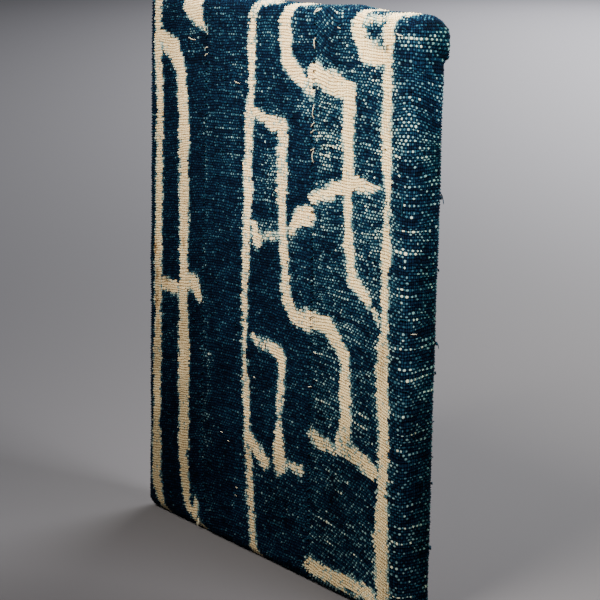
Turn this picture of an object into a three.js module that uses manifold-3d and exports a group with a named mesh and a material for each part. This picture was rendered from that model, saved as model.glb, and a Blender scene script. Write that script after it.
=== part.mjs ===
import * as THREE from "three";
import { mergeVertices } from "three/addons/utils/BufferGeometryUtils.js";
import Module from "manifold-3d";

// A cloth panel: three hand-woven indigo strips, sewn edge to edge, stretched over a wooden
// stretcher of four mitred bars and turned onto its back. It stands on its lower edge.
// Millimetres. +X runs to the viewer's right along the front, +Y to the back and +Z up.
// The origin is under the middle of the panel, on the surface that it stands on.

// The stretcher: four plain bars, mitred at the corners, with a rounded outer arris.
const STRETCHER_WIDTH = 240;
const STRETCHER_HEIGHT = 300;
const BAR_DEPTH = 18;
const BAR_WIDTH = 32;

// The cloth: a thick plain weave, a little clear of the wood, rounded over the edges.
const CLOTH = 2;
const CLEARANCE = 0.3;
const EDGE_RADIUS = 7;
const TURN = 18; // what is turned onto the back, all round
const TURN_WAVE = 1.6; // how unevenly its raw edge was cut
const SWELL_FRONT = 0.8; // how far a strip stands proud between its seams
const SWELL_SIDE = 0.4; // how far the side returns stand proud
const SWELL_BLEND = 11; // how far from a seam or an edge the cloth is fully proud

// The two upper corners, where the top return is tucked down over the side return.
const TUCK_DROP = 22; // how far the folded layers reach down the back edge
const TUCK_SIDE = 2.4; // how far they stand out to the side
const TUCK_BACK = 1.6; // and to the back
const TUCK_FRONT_SHARE = 0.3; // the share of the drop that is left at the front edge
const TUCK_EDGE = 5.5; // over how much their lower edge thins out
const TUCK_START = 9; // over how much they thicken below the top
const TUCK_FADE = 11; // over how much they thin out across the back

// Where the strips are sewn together: how far right of the middle, at a few heights.
const SEAMS = [
  [
    { height: 0, right: -56 },
    { height: 36, right: -59.6 },
    { height: 77, right: -61.6 },
    { height: 135, right: -61.6 },
    { height: 192, right: -60.9 },
    { height: 248, right: -59.4 },
    { height: 292, right: -60.1 },
    { height: 304.6, right: -60.3 },
  ],
  [
    { height: 0, right: 45.8 },
    { height: 13, right: 44.9 },
    { height: 57, right: 44.4 },
    { height: 154, right: 44.1 },
    { height: 206, right: 42.8 },
    { height: 258, right: 42.1 },
    { height: 286, right: 42.6 },
    { height: 304.6, right: 42.3 },
  ],
];

// How finely the faces are divided.
const ARC_STEPS = 2; // per eighth of a turn, over an edge
const FRONT_STEPS_ACROSS = 13;
const FRONT_STEPS_UP = 14;
const RETURN_STEPS = 4;
const SEAM_STEPS = 16;
const TURN_STEPS = 6; // along each side of the back's turned edge
const TUCK_LINES = [8, 11.5, 14.5, 17.5, 20, 22.5, 27]; // below the top

const SKIN = CLOTH + CLEARANCE;
const WIDTH = STRETCHER_WIDTH + 2 * SKIN;
const HEIGHT = STRETCHER_HEIGHT + 2 * SKIN;
const DEPTH = BAR_DEPTH + 2 * SKIN;
const REACH = 2 * (WIDTH + HEIGHT); // longer than the panel, for the cutting solids

const COLOURS = {
  indigo: 0x12394c,
  pine: 0xc9a873,
};

const wasm = await Module();
wasm.setup();

function toSolid(geometry) {
  const bare = geometry.clone();
  bare.deleteAttribute("normal");
  bare.deleteAttribute("uv");
  const merged = mergeVertices(bare, 1e-4);
  const mesh = new wasm.Mesh({
    numProp: 3,
    vertProperties: new Float32Array(merged.attributes.position.array),
    triVerts: new Uint32Array(merged.index.array),
  });
  return new wasm.Manifold(mesh);
}

function toGeometry(solid) {
  const mesh = solid.getMesh();
  const geometry = new THREE.BufferGeometry();
  geometry.setAttribute("position", new THREE.BufferAttribute(mesh.vertProperties, 3));
  geometry.setIndex(new THREE.BufferAttribute(mesh.triVerts, 1));
  geometry.computeVertexNormals();
  return geometry;
}

function mix(from, to, share) {
  return from + (to - from) * share;
}

// 0 at or below zero, 1 at or above one, and smooth between.
function ease(share) {
  const t = THREE.MathUtils.clamp(share, 0, 1);
  return t * t * (3 - 2 * t);
}

// Where a seam lies at a height above the floor, on a smooth line through its table.
function seamAt(seam, height) {
  const rows = SEAMS[seam];
  let i = 0;
  while (i < rows.length - 2 && height > rows[i + 1].height) i += 1;
  const low = rows[i];
  const high = rows[i + 1];
  return mix(low.right, high.right, ease((height - low.height) / (high.height - low.height)));
}

// Lines across a face from one edge to the other: close together over the two rounded
// edges, even between them, and at any further places that are asked for.
function faceLines(half, radius, steps, further) {
  const flat = half - radius;
  const lines = [];
  for (let i = 0; i <= ARC_STEPS; i += 1) {
    const across = radius * Math.tan((Math.PI / 4) * (i / ARC_STEPS));
    lines.push(flat + across, -flat - across);
  }
  for (let i = 1; i < steps; i += 1) lines.push(mix(-flat, flat, i / steps));
  lines.push(...further);
  return lines.sort((a, b) => a - b);
}

// How far the cloth stands proud of its plain box at a point, along the face it is on.
function swell(point, facing, isOuter) {
  const height = point.z + HEIGHT / 2;
  const drop = HEIGHT - height;
  const fromSide = WIDTH / 2 - Math.abs(point.x);
  const fromFront = point.y + DEPTH / 2;
  const fromEnd = Math.min(height, drop);
  const moved = new THREE.Vector3();

  if (facing.y < 0) {
    const fromSeam = Math.min(
      Math.abs(point.x - seamAt(0, height)),
      Math.abs(point.x - seamAt(1, height)),
    );
    const proud = ease(fromSeam / SWELL_BLEND) * ease(fromSide / SWELL_BLEND) *
      ease(fromEnd / SWELL_BLEND);
    moved.y = SWELL_FRONT * proud * facing.y;
  }
  const across = ease(Math.min(fromFront, DEPTH - fromFront) / (DEPTH / 2));
  moved.x = SWELL_SIDE * across * ease(fromEnd / SWELL_BLEND) * facing.x;

  if (isOuter) {
    const depthShare = THREE.MathUtils.clamp(fromFront / DEPTH, 0, 1);
    const reach = TUCK_DROP * mix(TUCK_FRONT_SHARE, 1, depthShare);
    const folded = ease((reach - drop) / TUCK_EDGE) * ease(drop / TUCK_START);
    const intoDepth = ease(fromFront / (DEPTH / 2));
    moved.x += TUCK_SIDE * folded * intoDepth * facing.x;
    if (facing.y > 0) {
      const nearCorner = ease((TUCK_DROP - fromSide) / TUCK_FADE);
      moved.y += TUCK_BACK * nearCorner * folded * facing.y;
    }
  }
  return moved;
}

// A closed box with rounded edges, larger than the stretcher by an offset. Each of its points
// is moved by what displace says, and has a line through it wherever the cloth's shape needs one.
function roundedBox(offset, displace, lineCounts, further) {
  const half = new THREE.Vector3(STRETCHER_WIDTH, BAR_DEPTH, STRETCHER_HEIGHT)
    .multiplyScalar(0.5)
    .addScalar(offset);
  const radius = EDGE_RADIUS - SKIN + offset;
  const lines = {
    x: faceLines(half.x, radius, lineCounts.x, further.x),
    y: faceLines(half.y, radius, lineCounts.y, further.y),
    z: faceLines(half.z, radius, lineCounts.z, further.z),
  };
  const box = new THREE.BoxGeometry(
    1, 1, 1, lines.x.length - 1, lines.y.length - 1, lines.z.length - 1);
  const positions = box.attributes.position;
  const point = new THREE.Vector3();
  const core = half.clone().subScalar(radius);
  for (let i = 0; i < positions.count; i += 1) {
    point.fromBufferAttribute(positions, i);
    for (const axis of ["x", "y", "z"]) {
      const last = lines[axis].length - 1;
      point[axis] = lines[axis][Math.round((point[axis] + 0.5) * last)];
    }
    const inner = point.clone().clamp(core.clone().negate(), core);
    const facing = point.clone().sub(inner).normalize();
    const placed = inner.addScaledVector(facing, radius);
    placed.add(displace(placed, facing));
    positions.setXYZ(i, placed.x, placed.y, placed.z);
  }
  return toSolid(box);
}

// One side of the cloth, as a closed skin round the stretcher.
function clothSkin(offset, isOuter) {
  const tuckLines = TUCK_LINES.map((drop) => HEIGHT / 2 - drop);
  const cornerLines = [TUCK_FADE, TUCK_DROP].flatMap((inwards) => {
    const x = WIDTH / 2 - inwards;
    return [x, -x];
  });
  return roundedBox(
    offset,
    (point, facing) => swell(point, facing, isOuter),
    { x: FRONT_STEPS_ACROSS, y: RETURN_STEPS, z: FRONT_STEPS_UP },
    { x: cornerLines, y: [], z: tuckLines },
  );
}

// A solid of an outline drawn on the front (x, z), from one depth to another.
function throughDepth(outline, from, to) {
  const shape = new THREE.Shape(outline);
  const geometry = new THREE.ExtrudeGeometry(shape, { depth: to - from, bevelEnabled: false });
  geometry.rotateX(Math.PI / 2);
  geometry.translate(0, to, 0);
  return toSolid(geometry);
}

// The opening that the turned edge leaves on the back, cut by hand and so a little wavy.
function backOpening() {
  const halfWidth = WIDTH / 2 - TURN;
  const halfHeight = HEIGHT / 2 - TURN;
  const corners = [
    { x: -1, z: -1 },
    { x: 1, z: -1 },
    { x: 1, z: 1 },
    { x: -1, z: 1 },
  ];
  const outline = [];
  corners.forEach((corner, side) => {
    const next = corners[(side + 1) % corners.length];
    for (let i = 0; i < TURN_STEPS; i += 1) {
      const share = i / TURN_STEPS;
      const wave = TURN_WAVE * Math.sin(2.3 * i + 1.7 * side) * Math.sin(Math.PI * share);
      const x = mix(corner.x, next.x, share);
      const z = mix(corner.z, next.z, share);
      const isUpright = corner.x === next.x;
      outline.push(new THREE.Vector2(
        x * halfWidth + (isUpright ? wave : 0),
        z * halfHeight + (isUpright ? 0 : wave),
      ));
    }
  });
  const innerFace = BAR_DEPTH / 2 + CLEARANCE / 2;
  return throughDepth(outline, innerFace, innerFace + REACH);
}

// The part of the panel between two lines that run up the front, each a seam or past the edge.
function between(leftLine, rightLine) {
  const outline = [];
  for (let i = 0; i <= SEAM_STEPS; i += 1) {
    const height = mix(-CLOTH, HEIGHT + CLOTH, i / SEAM_STEPS);
    outline.push(new THREE.Vector2(rightLine(height), height - HEIGHT / 2));
  }
  for (let i = SEAM_STEPS; i >= 0; i -= 1) {
    const height = mix(-CLOTH, HEIGHT + CLOTH, i / SEAM_STEPS);
    outline.push(new THREE.Vector2(leftLine(height), height - HEIGHT / 2));
  }
  return throughDepth(outline, -REACH, REACH);
}

function makeStrips() {
  const outer = clothSkin(SKIN, true);
  const inner = clothSkin(CLEARANCE, false);
  const sheet = outer.subtract(inner).subtract(backOpening());
  const halfGap = CLEARANCE / 2;
  const pastLeft = () => -REACH;
  const pastRight = () => REACH;
  const strips = [
    { name: "strip_left", left: pastLeft, right: (z) => seamAt(0, z) - halfGap },
    { name: "strip_middle", left: (z) => seamAt(0, z) + halfGap, right: (z) => seamAt(1, z) - halfGap },
    { name: "strip_right", left: (z) => seamAt(1, z) + halfGap, right: pastRight },
  ];
  const cotton = { color: COLOURS.indigo, roughness: 0.95, metalness: 0 };
  return strips.map((strip) => {
    const solid = sheet.intersect(between(strip.left, strip.right));
    const mesh = new THREE.Mesh(toGeometry(solid), new THREE.MeshStandardMaterial(cotton));
    mesh.name = strip.name;
    return mesh;
  });
}

// A bar lies along X with its outer face at z = 0 and its inner face at z = BAR_WIDTH.
// Its ends are cut back as they go in, for the mitres.
function barGeometry(length) {
  const geometry = new THREE.BoxGeometry(length, BAR_DEPTH, BAR_WIDTH);
  geometry.translate(0, 0, BAR_WIDTH / 2);
  const positions = geometry.attributes.position;
  const mitreGap = CLEARANCE * Math.SQRT1_2;
  for (let i = 0; i < positions.count; i += 1) {
    const x = positions.getX(i);
    const cutBack = positions.getZ(i) + mitreGap;
    positions.setX(i, x - Math.sign(x) * cutBack);
  }
  return geometry;
}

// Each bar is cut to the stretcher's outer form, which rounds its arrises and its corners.
function makeBars() {
  const halfWidth = STRETCHER_WIDTH / 2;
  const halfHeight = STRETCHER_HEIGHT / 2;
  const pine = { color: COLOURS.pine, roughness: 0.75, metalness: 0 };
  const still = () => new THREE.Vector3();
  const form = roundedBox(0, still, { x: 1, y: 1, z: 1 }, { x: [], y: [], z: [] });
  const bars = [
    { name: "bar_bottom", length: STRETCHER_WIDTH, x: 0, z: -halfHeight, turn: 0 },
    { name: "bar_right", length: STRETCHER_HEIGHT, x: halfWidth, z: 0, turn: -Math.PI / 2 },
    { name: "bar_top", length: STRETCHER_WIDTH, x: 0, z: halfHeight, turn: Math.PI },
    { name: "bar_left", length: STRETCHER_HEIGHT, x: -halfWidth, z: 0, turn: Math.PI / 2 },
  ];
  return bars.map((bar) => {
    const blank = barGeometry(bar.length);
    blank.rotateY(bar.turn);
    blank.translate(bar.x, 0, bar.z);
    const solid = toSolid(blank).intersect(form);
    const mesh = new THREE.Mesh(toGeometry(solid), new THREE.MeshStandardMaterial(pine));
    mesh.name = bar.name;
    return mesh;
  });
}

const stretcher = new THREE.Group();
stretcher.add(...makeBars());

const cloth = new THREE.Group();
cloth.add(...makeStrips());

// The lower edge is set on the floor, and the whole depth is centred on the origin.
const panel = new THREE.Group();
panel.add(stretcher, cloth);
const extent = new THREE.Box3().setFromObject(panel, true);
panel.position.set(0, -(extent.min.y + extent.max.y) / 2, -extent.min.z);

const part = new THREE.Group();
part.add(panel);

export default part;
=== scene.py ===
# %% [markdown]
# # A cloth panel of three indigo strips
#
# The real object is hand-woven cotton, resist-dyed with indigo and stretched over a wooden
# stretcher, as a painter stretches canvas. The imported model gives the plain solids: four bars
# and three strips. This lesson gives each strip its real threads and its dyed pattern, sews
# the strips together and finishes the wood.
#
# Lengths are written in millimetres and turned to metres only when a mesh is made.

import math

import bpy
import numpy as np
from mathutils import Matrix, Vector


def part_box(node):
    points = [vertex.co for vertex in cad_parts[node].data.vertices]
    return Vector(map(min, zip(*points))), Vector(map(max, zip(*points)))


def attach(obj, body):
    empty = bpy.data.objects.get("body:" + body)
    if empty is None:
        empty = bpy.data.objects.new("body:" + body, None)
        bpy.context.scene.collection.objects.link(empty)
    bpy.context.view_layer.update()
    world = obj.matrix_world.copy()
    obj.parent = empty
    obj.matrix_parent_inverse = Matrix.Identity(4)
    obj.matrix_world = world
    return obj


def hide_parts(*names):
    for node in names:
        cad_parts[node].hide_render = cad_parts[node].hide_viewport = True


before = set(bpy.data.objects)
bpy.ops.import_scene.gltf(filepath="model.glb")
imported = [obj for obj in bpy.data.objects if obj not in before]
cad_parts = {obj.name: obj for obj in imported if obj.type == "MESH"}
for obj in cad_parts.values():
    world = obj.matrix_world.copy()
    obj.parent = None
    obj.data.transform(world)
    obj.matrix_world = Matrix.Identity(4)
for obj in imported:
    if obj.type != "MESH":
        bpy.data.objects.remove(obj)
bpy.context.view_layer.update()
MM = 0.001
BARS = ("bar_bottom", "bar_right", "bar_top", "bar_left")
print("nodes:", ", ".join(sorted(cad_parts)))

# %% [markdown]
# ## The stretcher's size
#
# The cloth lies a little clear of the wood and is as thick as the solids say. Everything
# below is worked out from the wood's own box, so the cloth always fits its stretcher.

# %% Measure the wood and the cloth's plain form
CLOTH = 2.0  # how thick the strips' solids are
CLEARANCE = 0.3  # between the wood and the cloth
EDGE_RADIUS = 7.0  # of the cloth where it goes round an edge
TURN = 18.0  # how far the cloth is turned in on the back

bar_corners = np.array([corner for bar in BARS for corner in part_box(bar)]) / MM
WOOD_LOW = bar_corners.min(axis=0)
WOOD_HIGH = bar_corners.max(axis=0)
MIDDLE = (WOOD_LOW + WOOD_HIGH) / 2
HALF = (WOOD_HIGH - WOOD_LOW) / 2 + CLOTH + CLEARANCE
HALF_WIDTH, HALF_DEPTH, HALF_HEIGHT = HALF
DEPTH = 2 * HALF_DEPTH
print("cloth box, mm:", (2 * HALF).round(1))

# %% [markdown]
# ## Laying a length over an edge
#
# A thread runs straight across the front, round a soft edge, along the side, round the back
# edge and a little way in. `over_edge` takes a distance along the thread from the middle of
# the front and says how far out that lies and how deep, on a box with sharp edges. Pulling
# each sharp point in to a fixed radius then gives the round edges, also at the corners.
# A bevel on a cube would give the same shape, but not the length of cloth that goes over it.


# %% Small helpers
def ease(share):
    """0 up to zero, 1 from one on, and smooth between."""
    t = np.clip(share, 0, 1)
    return t * t * (3 - 2 * t)


def mix(low, high, share):
    """A value between two others, by its share of the way."""
    return low + (high - low) * share


QUARTER_ARC = math.pi * EDGE_RADIUS / 2
SIDE_FLAT = DEPTH - 2 * EDGE_RADIUS
GATHER = 45.0  # how much of a turned edge is drawn in towards each corner


def over_edge(length, half):
    """How far out and how deep a length lies on the sharp box."""
    run = np.abs(length)
    flat = half - EDGE_RADIUS
    front_turn = np.clip((run - flat) / EDGE_RADIUS, 0, math.pi / 2)
    back_turn = np.clip((run - flat - QUARTER_ARC - SIDE_FLAT) / EDGE_RADIUS, 0, math.pi / 2)
    rest = np.maximum(0, run - flat - 2 * QUARTER_ARC - SIDE_FLAT)
    eighth = math.pi / 4
    cases = [run < flat, front_turn <= eighth, back_turn <= eighth]
    out = np.select(
        cases,
        [run, flat + EDGE_RADIUS * np.tan(front_turn), half + 0 * run],
        half - EDGE_RADIUS + EDGE_RADIUS * np.tan(math.pi / 2 - back_turn) - rest,
    )
    depth = np.select(
        [front_turn <= eighth, front_turn < math.pi / 2, back_turn <= 0, back_turn <= eighth],
        [
            0 * run,
            EDGE_RADIUS - EDGE_RADIUS * np.tan(math.pi / 2 - front_turn),
            EDGE_RADIUS + run - flat - QUARTER_ARC,
            DEPTH - EDGE_RADIUS + EDGE_RADIUS * np.tan(back_turn),
        ],
        DEPTH,
    )
    return np.sign(length) * out, depth


def drawn_in(along, half, inwards):
    """Near a corner of the back, the turned edge is gathered so that it meets at a mitre."""
    beyond = np.maximum(0, np.abs(along) - (half - GATHER))
    return along - np.sign(along) * beyond * inwards / GATHER


def plain_form(across, up):
    """Points of the round-edged box and the way each faces, for lengths across and up."""
    x, depth_of_x = over_edge(across, HALF_WIDTH)
    z, depth_of_z = over_edge(up, HALF_HEIGHT)
    inwards_x = np.where(depth_of_x >= DEPTH, HALF_WIDTH - np.abs(x), 0)
    inwards_z = np.where(depth_of_z >= DEPTH, HALF_HEIGHT - np.abs(z), 0)
    sharp = np.stack([
        drawn_in(x, HALF_WIDTH, inwards_z),
        np.maximum(depth_of_x, depth_of_z) - HALF_DEPTH,
        drawn_in(z, HALF_HEIGHT, inwards_x),
    ], axis=-1)
    core = HALF - EDGE_RADIUS
    inner = np.clip(sharp, -core, core)
    facing = sharp - inner
    facing /= np.linalg.norm(facing, axis=-1, keepdims=True)
    return inner, facing


print("length from the middle to the back's raw edge, mm:",
      round(HALF_WIDTH - EDGE_RADIUS + 2 * QUARTER_ARC + SIDE_FLAT + TURN - EDGE_RADIUS, 1))

# %% [markdown]
# ## How the cloth swells and tucks
#
# Stretched cloth isn't flat. It stands a little proud between its seams and over the sides,
# and at the two upper corners the top return is folded down over the side. The solids have
# these forms too, in plain shape, so the finished cloth lies in the space that they hold. The
# folds stand a little fuller here, as soft cloth does. A cloth simulation could make such
# forms, but these few stated heights stay the same from run to run and fit the solids.

# %% The swell, the seams and the tucked corners
SWELL_FRONT = 0.8
SWELL_SIDE = 0.4
SWELL_BLEND = 11.0
TUCK_DROP = 25.0
TUCK_SIDE = 2.7
TUCK_BACK = 2.4
TUCK_FRONT_SHARE = 0.3
TUCK_EDGE = 7.0
TUCK_START = 9.0
TUCK_FADE = 11.0
BACK_EDGE = {  # the fuller roll along the two upright back edges
    "begins": 8.0, "blend": 6.0, "reach": 26.0, "fade": 12.0, "to_side": 0.9, "to_back": 0.7}
TOP_HUMP = {"right": 58.0, "reach": 15.0, "height": 1.6}  # where the top fold lies thicker

SEAMS = [
    {"height": (0, 36, 77, 135, 192, 248, 292, 304.6),
     "right": (-56, -59.6, -61.6, -61.6, -60.9, -59.4, -60.1, -60.3)},
    {"height": (0, 13, 57, 154, 206, 258, 286, 304.6),
     "right": (45.8, 44.9, 44.4, 44.1, 42.8, 42.1, 42.6, 42.3)},
]


def seam_at(seam, up):
    """How far right of the middle a seam lies, at a height above the middle."""
    heights = np.array(SEAMS[seam]["height"]) - HALF_HEIGHT
    right = np.array(SEAMS[seam]["right"])
    i = np.clip(np.searchsorted(heights, up) - 1, 0, len(heights) - 2)
    return mix(right[i], right[i + 1], ease((up - heights[i]) / (heights[i + 1] - heights[i])))


def swell(point, facing, is_outer):
    """How far the cloth stands proud of the round-edged box at a point."""
    x, y, z = np.moveaxis(point, -1, 0)
    drop = HALF_HEIGHT - z
    from_side = HALF_WIDTH - np.abs(x)
    from_front = y + HALF_DEPTH
    from_end = HALF_HEIGHT - np.abs(z)
    from_seam = np.minimum(np.abs(x - seam_at(0, z)), np.abs(x - seam_at(1, z)))
    moved = np.zeros_like(point)

    at_end = ease(from_end / SWELL_BLEND)
    proud = ease(from_seam / SWELL_BLEND) * ease(from_side / SWELL_BLEND) * at_end
    moved[..., 1] = np.where(facing[..., 1] < 0, SWELL_FRONT * proud * facing[..., 1], 0)
    middle_of_side = ease(np.minimum(from_front, DEPTH - from_front) / HALF_DEPTH)
    moved[..., 0] = SWELL_SIDE * middle_of_side * at_end * facing[..., 0]

    if is_outer:
        reach = TUCK_DROP * mix(TUCK_FRONT_SHARE, 1, np.clip(from_front / DEPTH, 0, 1))
        folded = ease((reach - drop) / TUCK_EDGE) * ease(drop / TUCK_START)
        moved[..., 0] += TUCK_SIDE * folded * ease(from_front / HALF_DEPTH) * facing[..., 0]
        near_corner = ease((TUCK_DROP - from_side) / TUCK_FADE)
        at_back = np.maximum(facing[..., 1], 0)
        moved[..., 1] += TUCK_BACK * near_corner * folded * at_back
        rolled = ease((from_front - DEPTH + BACK_EDGE["begins"]) / BACK_EDGE["blend"])
        near_side = ease((BACK_EDGE["reach"] - from_side) / BACK_EDGE["fade"])
        back_edge = rolled * near_side * at_end
        moved[..., 0] += BACK_EDGE["to_side"] * back_edge * facing[..., 0]
        moved[..., 1] += BACK_EDGE["to_back"] * back_edge * at_back
        hump = np.exp(-((x - TOP_HUMP["right"]) / TOP_HUMP["reach"]) ** 2)
        moved[..., 2] += TOP_HUMP["height"] * hump * np.maximum(facing[..., 2], 0)
    return moved


print("seams at mid height, mm:", [float(seam_at(i, 0.0).round(1)) for i in (0, 1)])

# %% [markdown]
# ## Counting the threads
#
# Warp threads, the ends, run up a strip, and weft threads, the picks, run across it. The
# strips were woven on a narrow loom, about 105 mm wide, from thick hand-spun cotton: there
# are about 8 ends and 6 or 7 picks to a centimetre. Each crossing becomes a square of four
# faces with a point on its crest, so the weave is real relief and not only a picture of one.

# %% Thread counts
END_COUNTS = {"left": 50, "middle": 86, "right": 64}
PICK_COUNTS = {"left": 212, "middle": 196, "right": 192}
RETURN_COUNT = 30  # threads from an edge's middle line to the raw edge on the back
HALF_FRONT_ACROSS = HALF_WIDTH - EDGE_RADIUS + QUARTER_ARC / 2
HALF_FRONT_UP = HALF_HEIGHT - EDGE_RADIUS + QUARTER_ARC / 2
RETURN_LENGTH = QUARTER_ARC / 2 + SIDE_FLAT + QUARTER_ARC + TURN - EDGE_RADIUS
STEPS = 2  # lines for each thread
INNER_STEPS = 4  # the plain inner side has a line for each second thread

end_total = sum(END_COUNTS.values())
END_PITCH = 2 * HALF_FRONT_ACROSS / end_total
pick_pitches = {strip: round(2 * HALF_FRONT_UP / count, 2) for strip, count in PICK_COUNTS.items()}
print("end pitch, mm:", round(END_PITCH, 2), " pick pitches, mm:", pick_pitches)


def line_places(count, half_front):
    """Where each line along the threads lies, from one raw edge to the other."""
    front = np.linspace(-half_front, half_front, STEPS * count + 1)
    past = np.linspace(0, RETURN_LENGTH, STEPS * RETURN_COUNT + 1)[1:]
    return np.concatenate([-half_front - past[::-1], front, half_front + past])


ACROSS_LINES = line_places(end_total, HALF_FRONT_ACROSS)
EDGE_LINE = STEPS * RETURN_COUNT  # the number of the line on the middle of an edge
LAST_ACROSS = EDGE_LINE + STEPS * end_total
FIRST_SEAM = EDGE_LINE + STEPS * END_COUNTS["left"]
SECOND_SEAM = FIRST_SEAM + STEPS * END_COUNTS["middle"]

# %% [markdown]
# ## Uneven hands
#
# No thread runs dead straight. The picks were beaten in by hand and pulled over the
# stretcher later, so on the left strip they climb to the right, and on the right strip they
# arch up and then fall towards the edge. The tables give that climb in millimetres for each
# millimetre to the right. Smooth noise adds the small wander of every single thread.

# %% The climb of the picks
PICK_CLIMB = {
    "left": {"height": (0, 310), "at_left": (0.15, 0.15), "at_right": (0.15, 0.12),
             "past_edge": (0.05, 0.05)},
    "middle": {"height": (0, 60, 140, 310), "at_left": (0.1, 0.1, 0.08, 0.06),
               "at_right": (0.0, -0.03, 0.0, 0.02), "past_edge": (0, 0, 0, 0)},
    "right": {"height": (0, 20, 75, 115, 160, 200, 235, 270, 290, 310),
              "at_left": (-0.05, -0.08, 0.05, -0.02, 0.1, 0.12, 0.05, -0.1, -0.25, -0.3),
              "at_right": (-0.24, -0.28, -0.26, -0.2, -0.16, -0.1, -0.08, 0.0, 0.12, 0.15),
              "past_edge": (-0.1, -0.04, 0.1, 0.1, 0.12, 0.0, 0.08, -0.3, -0.25, -0.15)},
}
STRIP_EDGES = {
    "left": (-HALF_FRONT_ACROSS, ACROSS_LINES[FIRST_SEAM]),
    "middle": (ACROSS_LINES[FIRST_SEAM], ACROSS_LINES[SECOND_SEAM]),
    "right": (ACROSS_LINES[SECOND_SEAM], HALF_FRONT_ACROSS),
}
CORNER_CALM = 22.0  # threads run straight this near to a corner
PICK_SAGS = [(60, 297, 10, 16, -3.2), (120, 258, 12, 8, 1.5)]  # across, height, reaches, rise


def climb(strip, across, up):
    """How far a pick has climbed at a place on its strip."""
    table = PICK_CLIMB[strip]
    left, right = STRIP_EDGES[strip]
    width = right - left
    height = up + HALF_HEIGHT
    at_left = np.interp(height, table["height"], table["at_left"])
    at_right = np.interp(height, table["height"], table["at_right"])
    past = np.interp(height, table["height"], table["past_edge"])
    share = np.clip((across - left) / width, 0, 1)
    bent = at_right - at_left
    raised = width * (at_left * share + bent * share ** 2 / 2 - at_left / 2 - bent / 6)
    beyond_right = np.maximum(0, across - HALF_FRONT_ACROSS)
    beyond_left = np.minimum(0, across + HALF_FRONT_ACROSS)
    return raised + past * (beyond_right + beyond_left)


for strip, (left, right) in STRIP_EDGES.items():
    rise = climb(strip, right, 0.0) - climb(strip, left, 0.0)
    print(strip, "strip: a pick at mid height climbs, mm:", round(float(rise), 1))


def near(across, height, place):
    """How near each crossing is to a soft patch, from 0 to 1."""
    return np.exp(-((across - place[0]) / place[2]) ** 2 - ((height - place[1]) / place[3]) ** 2)


def soft_noise(chance, shape, patch):
    """Smooth random values over a grid, with hills as large as a patch."""
    coarse_shape = [math.ceil(n / p) + 2 for n, p in zip(shape, patch)]
    coarse = chance.standard_normal(coarse_shape)
    for axis in (0, 1):
        place = np.arange(shape[axis]) / patch[axis]
        low = np.floor(place).astype(int)
        share = ease(place - low)
        share = share[:, None] if axis == 0 else share[None, :]
        coarse = mix(np.take(coarse, low, axis), np.take(coarse, low + 1, axis), share)
    return coarse


def layered_noise(chance, shape, layers):
    """Smooth noise of several sizes, added up. A layer is a height and the size of a hill."""
    return sum(height * soft_noise(chance, shape, patch) for height, patch in layers)


# %% [markdown]
# ## The relief of a plain weave
#
# At each crossing one thread rides over the other, turn and turn about. The crest of a weft
# float stands highest, because the picks are thicker and softer than the ends. Between the
# threads the cloth dips, and lowest of all are the small holes at the crossings' corners.

# %% Relief heights, in millimetres
WEFT_CREST = 0.42
WARP_CREST = 0.12
BETWEEN_ENDS = 0.04
BETWEEN_PICKS = -0.42
HOLE = -0.6
PICK_UNEVEN = 0.06  # from one pick to the next
GAP_UNEVEN = 0.02  # the same, beside the crests
SLUB_RISE = 0.08  # along one pick
LUMP_RISE = 0.16  # over patches of the cloth
CREST_UNEVEN = 0.07  # from one crossing to the next
SEAM_DIP = 0.5
SEAM_ROLL = 2.4  # how far from a seam the cloth starts to roll in
SEAM_LAP = 0.04  # the sewing pulls two edges together, so that no light comes through
FLOOR_GAP = 0.03
print("from a hole to a weft crest, mm:", round(WEFT_CREST - HOLE, 2))


def thread_relief(first_line, count_across, count_up, chance):
    """How far each point of the grid stands out, with the uneven thickness of the yarn."""
    column = first_line + np.arange(count_across)[:, None]
    row = np.arange(count_up)[None, :]
    on_end = column % STEPS == 1
    on_pick = row % STEPS == 1
    weft_on_top = (column // STEPS + row // STEPS) % 2 == 1
    height = np.select(
        [on_end & on_pick & weft_on_top, on_end & on_pick, on_pick & ~on_end, on_end & ~on_pick],
        [WEFT_CREST, WARP_CREST, BETWEEN_ENDS, BETWEEN_PICKS],
        HOLE,
    )
    pick_of_row = np.broadcast_to(row // STEPS, height.shape)
    thick_picks = chance.standard_normal(count_up // STEPS + 1)[pick_of_row]
    slubs = soft_noise(chance, (count_across, count_up), (9, 2))
    lumps = soft_noise(chance, (count_across, count_up), (30, 34))
    uneven = np.where(on_pick, PICK_UNEVEN * thick_picks + SLUB_RISE * slubs, GAP_UNEVEN * thick_picks)
    crests = CREST_UNEVEN * chance.standard_normal(height.shape)
    return height + uneven + LUMP_RISE * lumps + np.where(on_end & on_pick, crests, 0)


# %% [markdown]
# ## Placing every thread of a strip
#
# The grid of a strip is laid out flat first: lengths across and up, with the climb of the
# picks, the line of the seam and the wander of the threads. Then it is folded over the
# stretcher, swollen, and given its relief along the way it faces.

# %% Lay out one strip
WANDER_UP = [(0.6, (26, 14)), (0.24, (6, 2))]  # mm, and how many lines a hill is wide and high
WANDER_ACROSS = [(0.25, (12, 40)), (0.22, (2, 7))]
SEAM_CALM = 4.0  # the wander dies out this near to a strip's edge
RAW_EDGE_PAST = 100.0  # an edge further out than this is a raw edge and no seam
print("lines up a strip:", {strip: STEPS * (n + 2 * RETURN_COUNT) + 1 for strip, n in PICK_COUNTS.items()})


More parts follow.
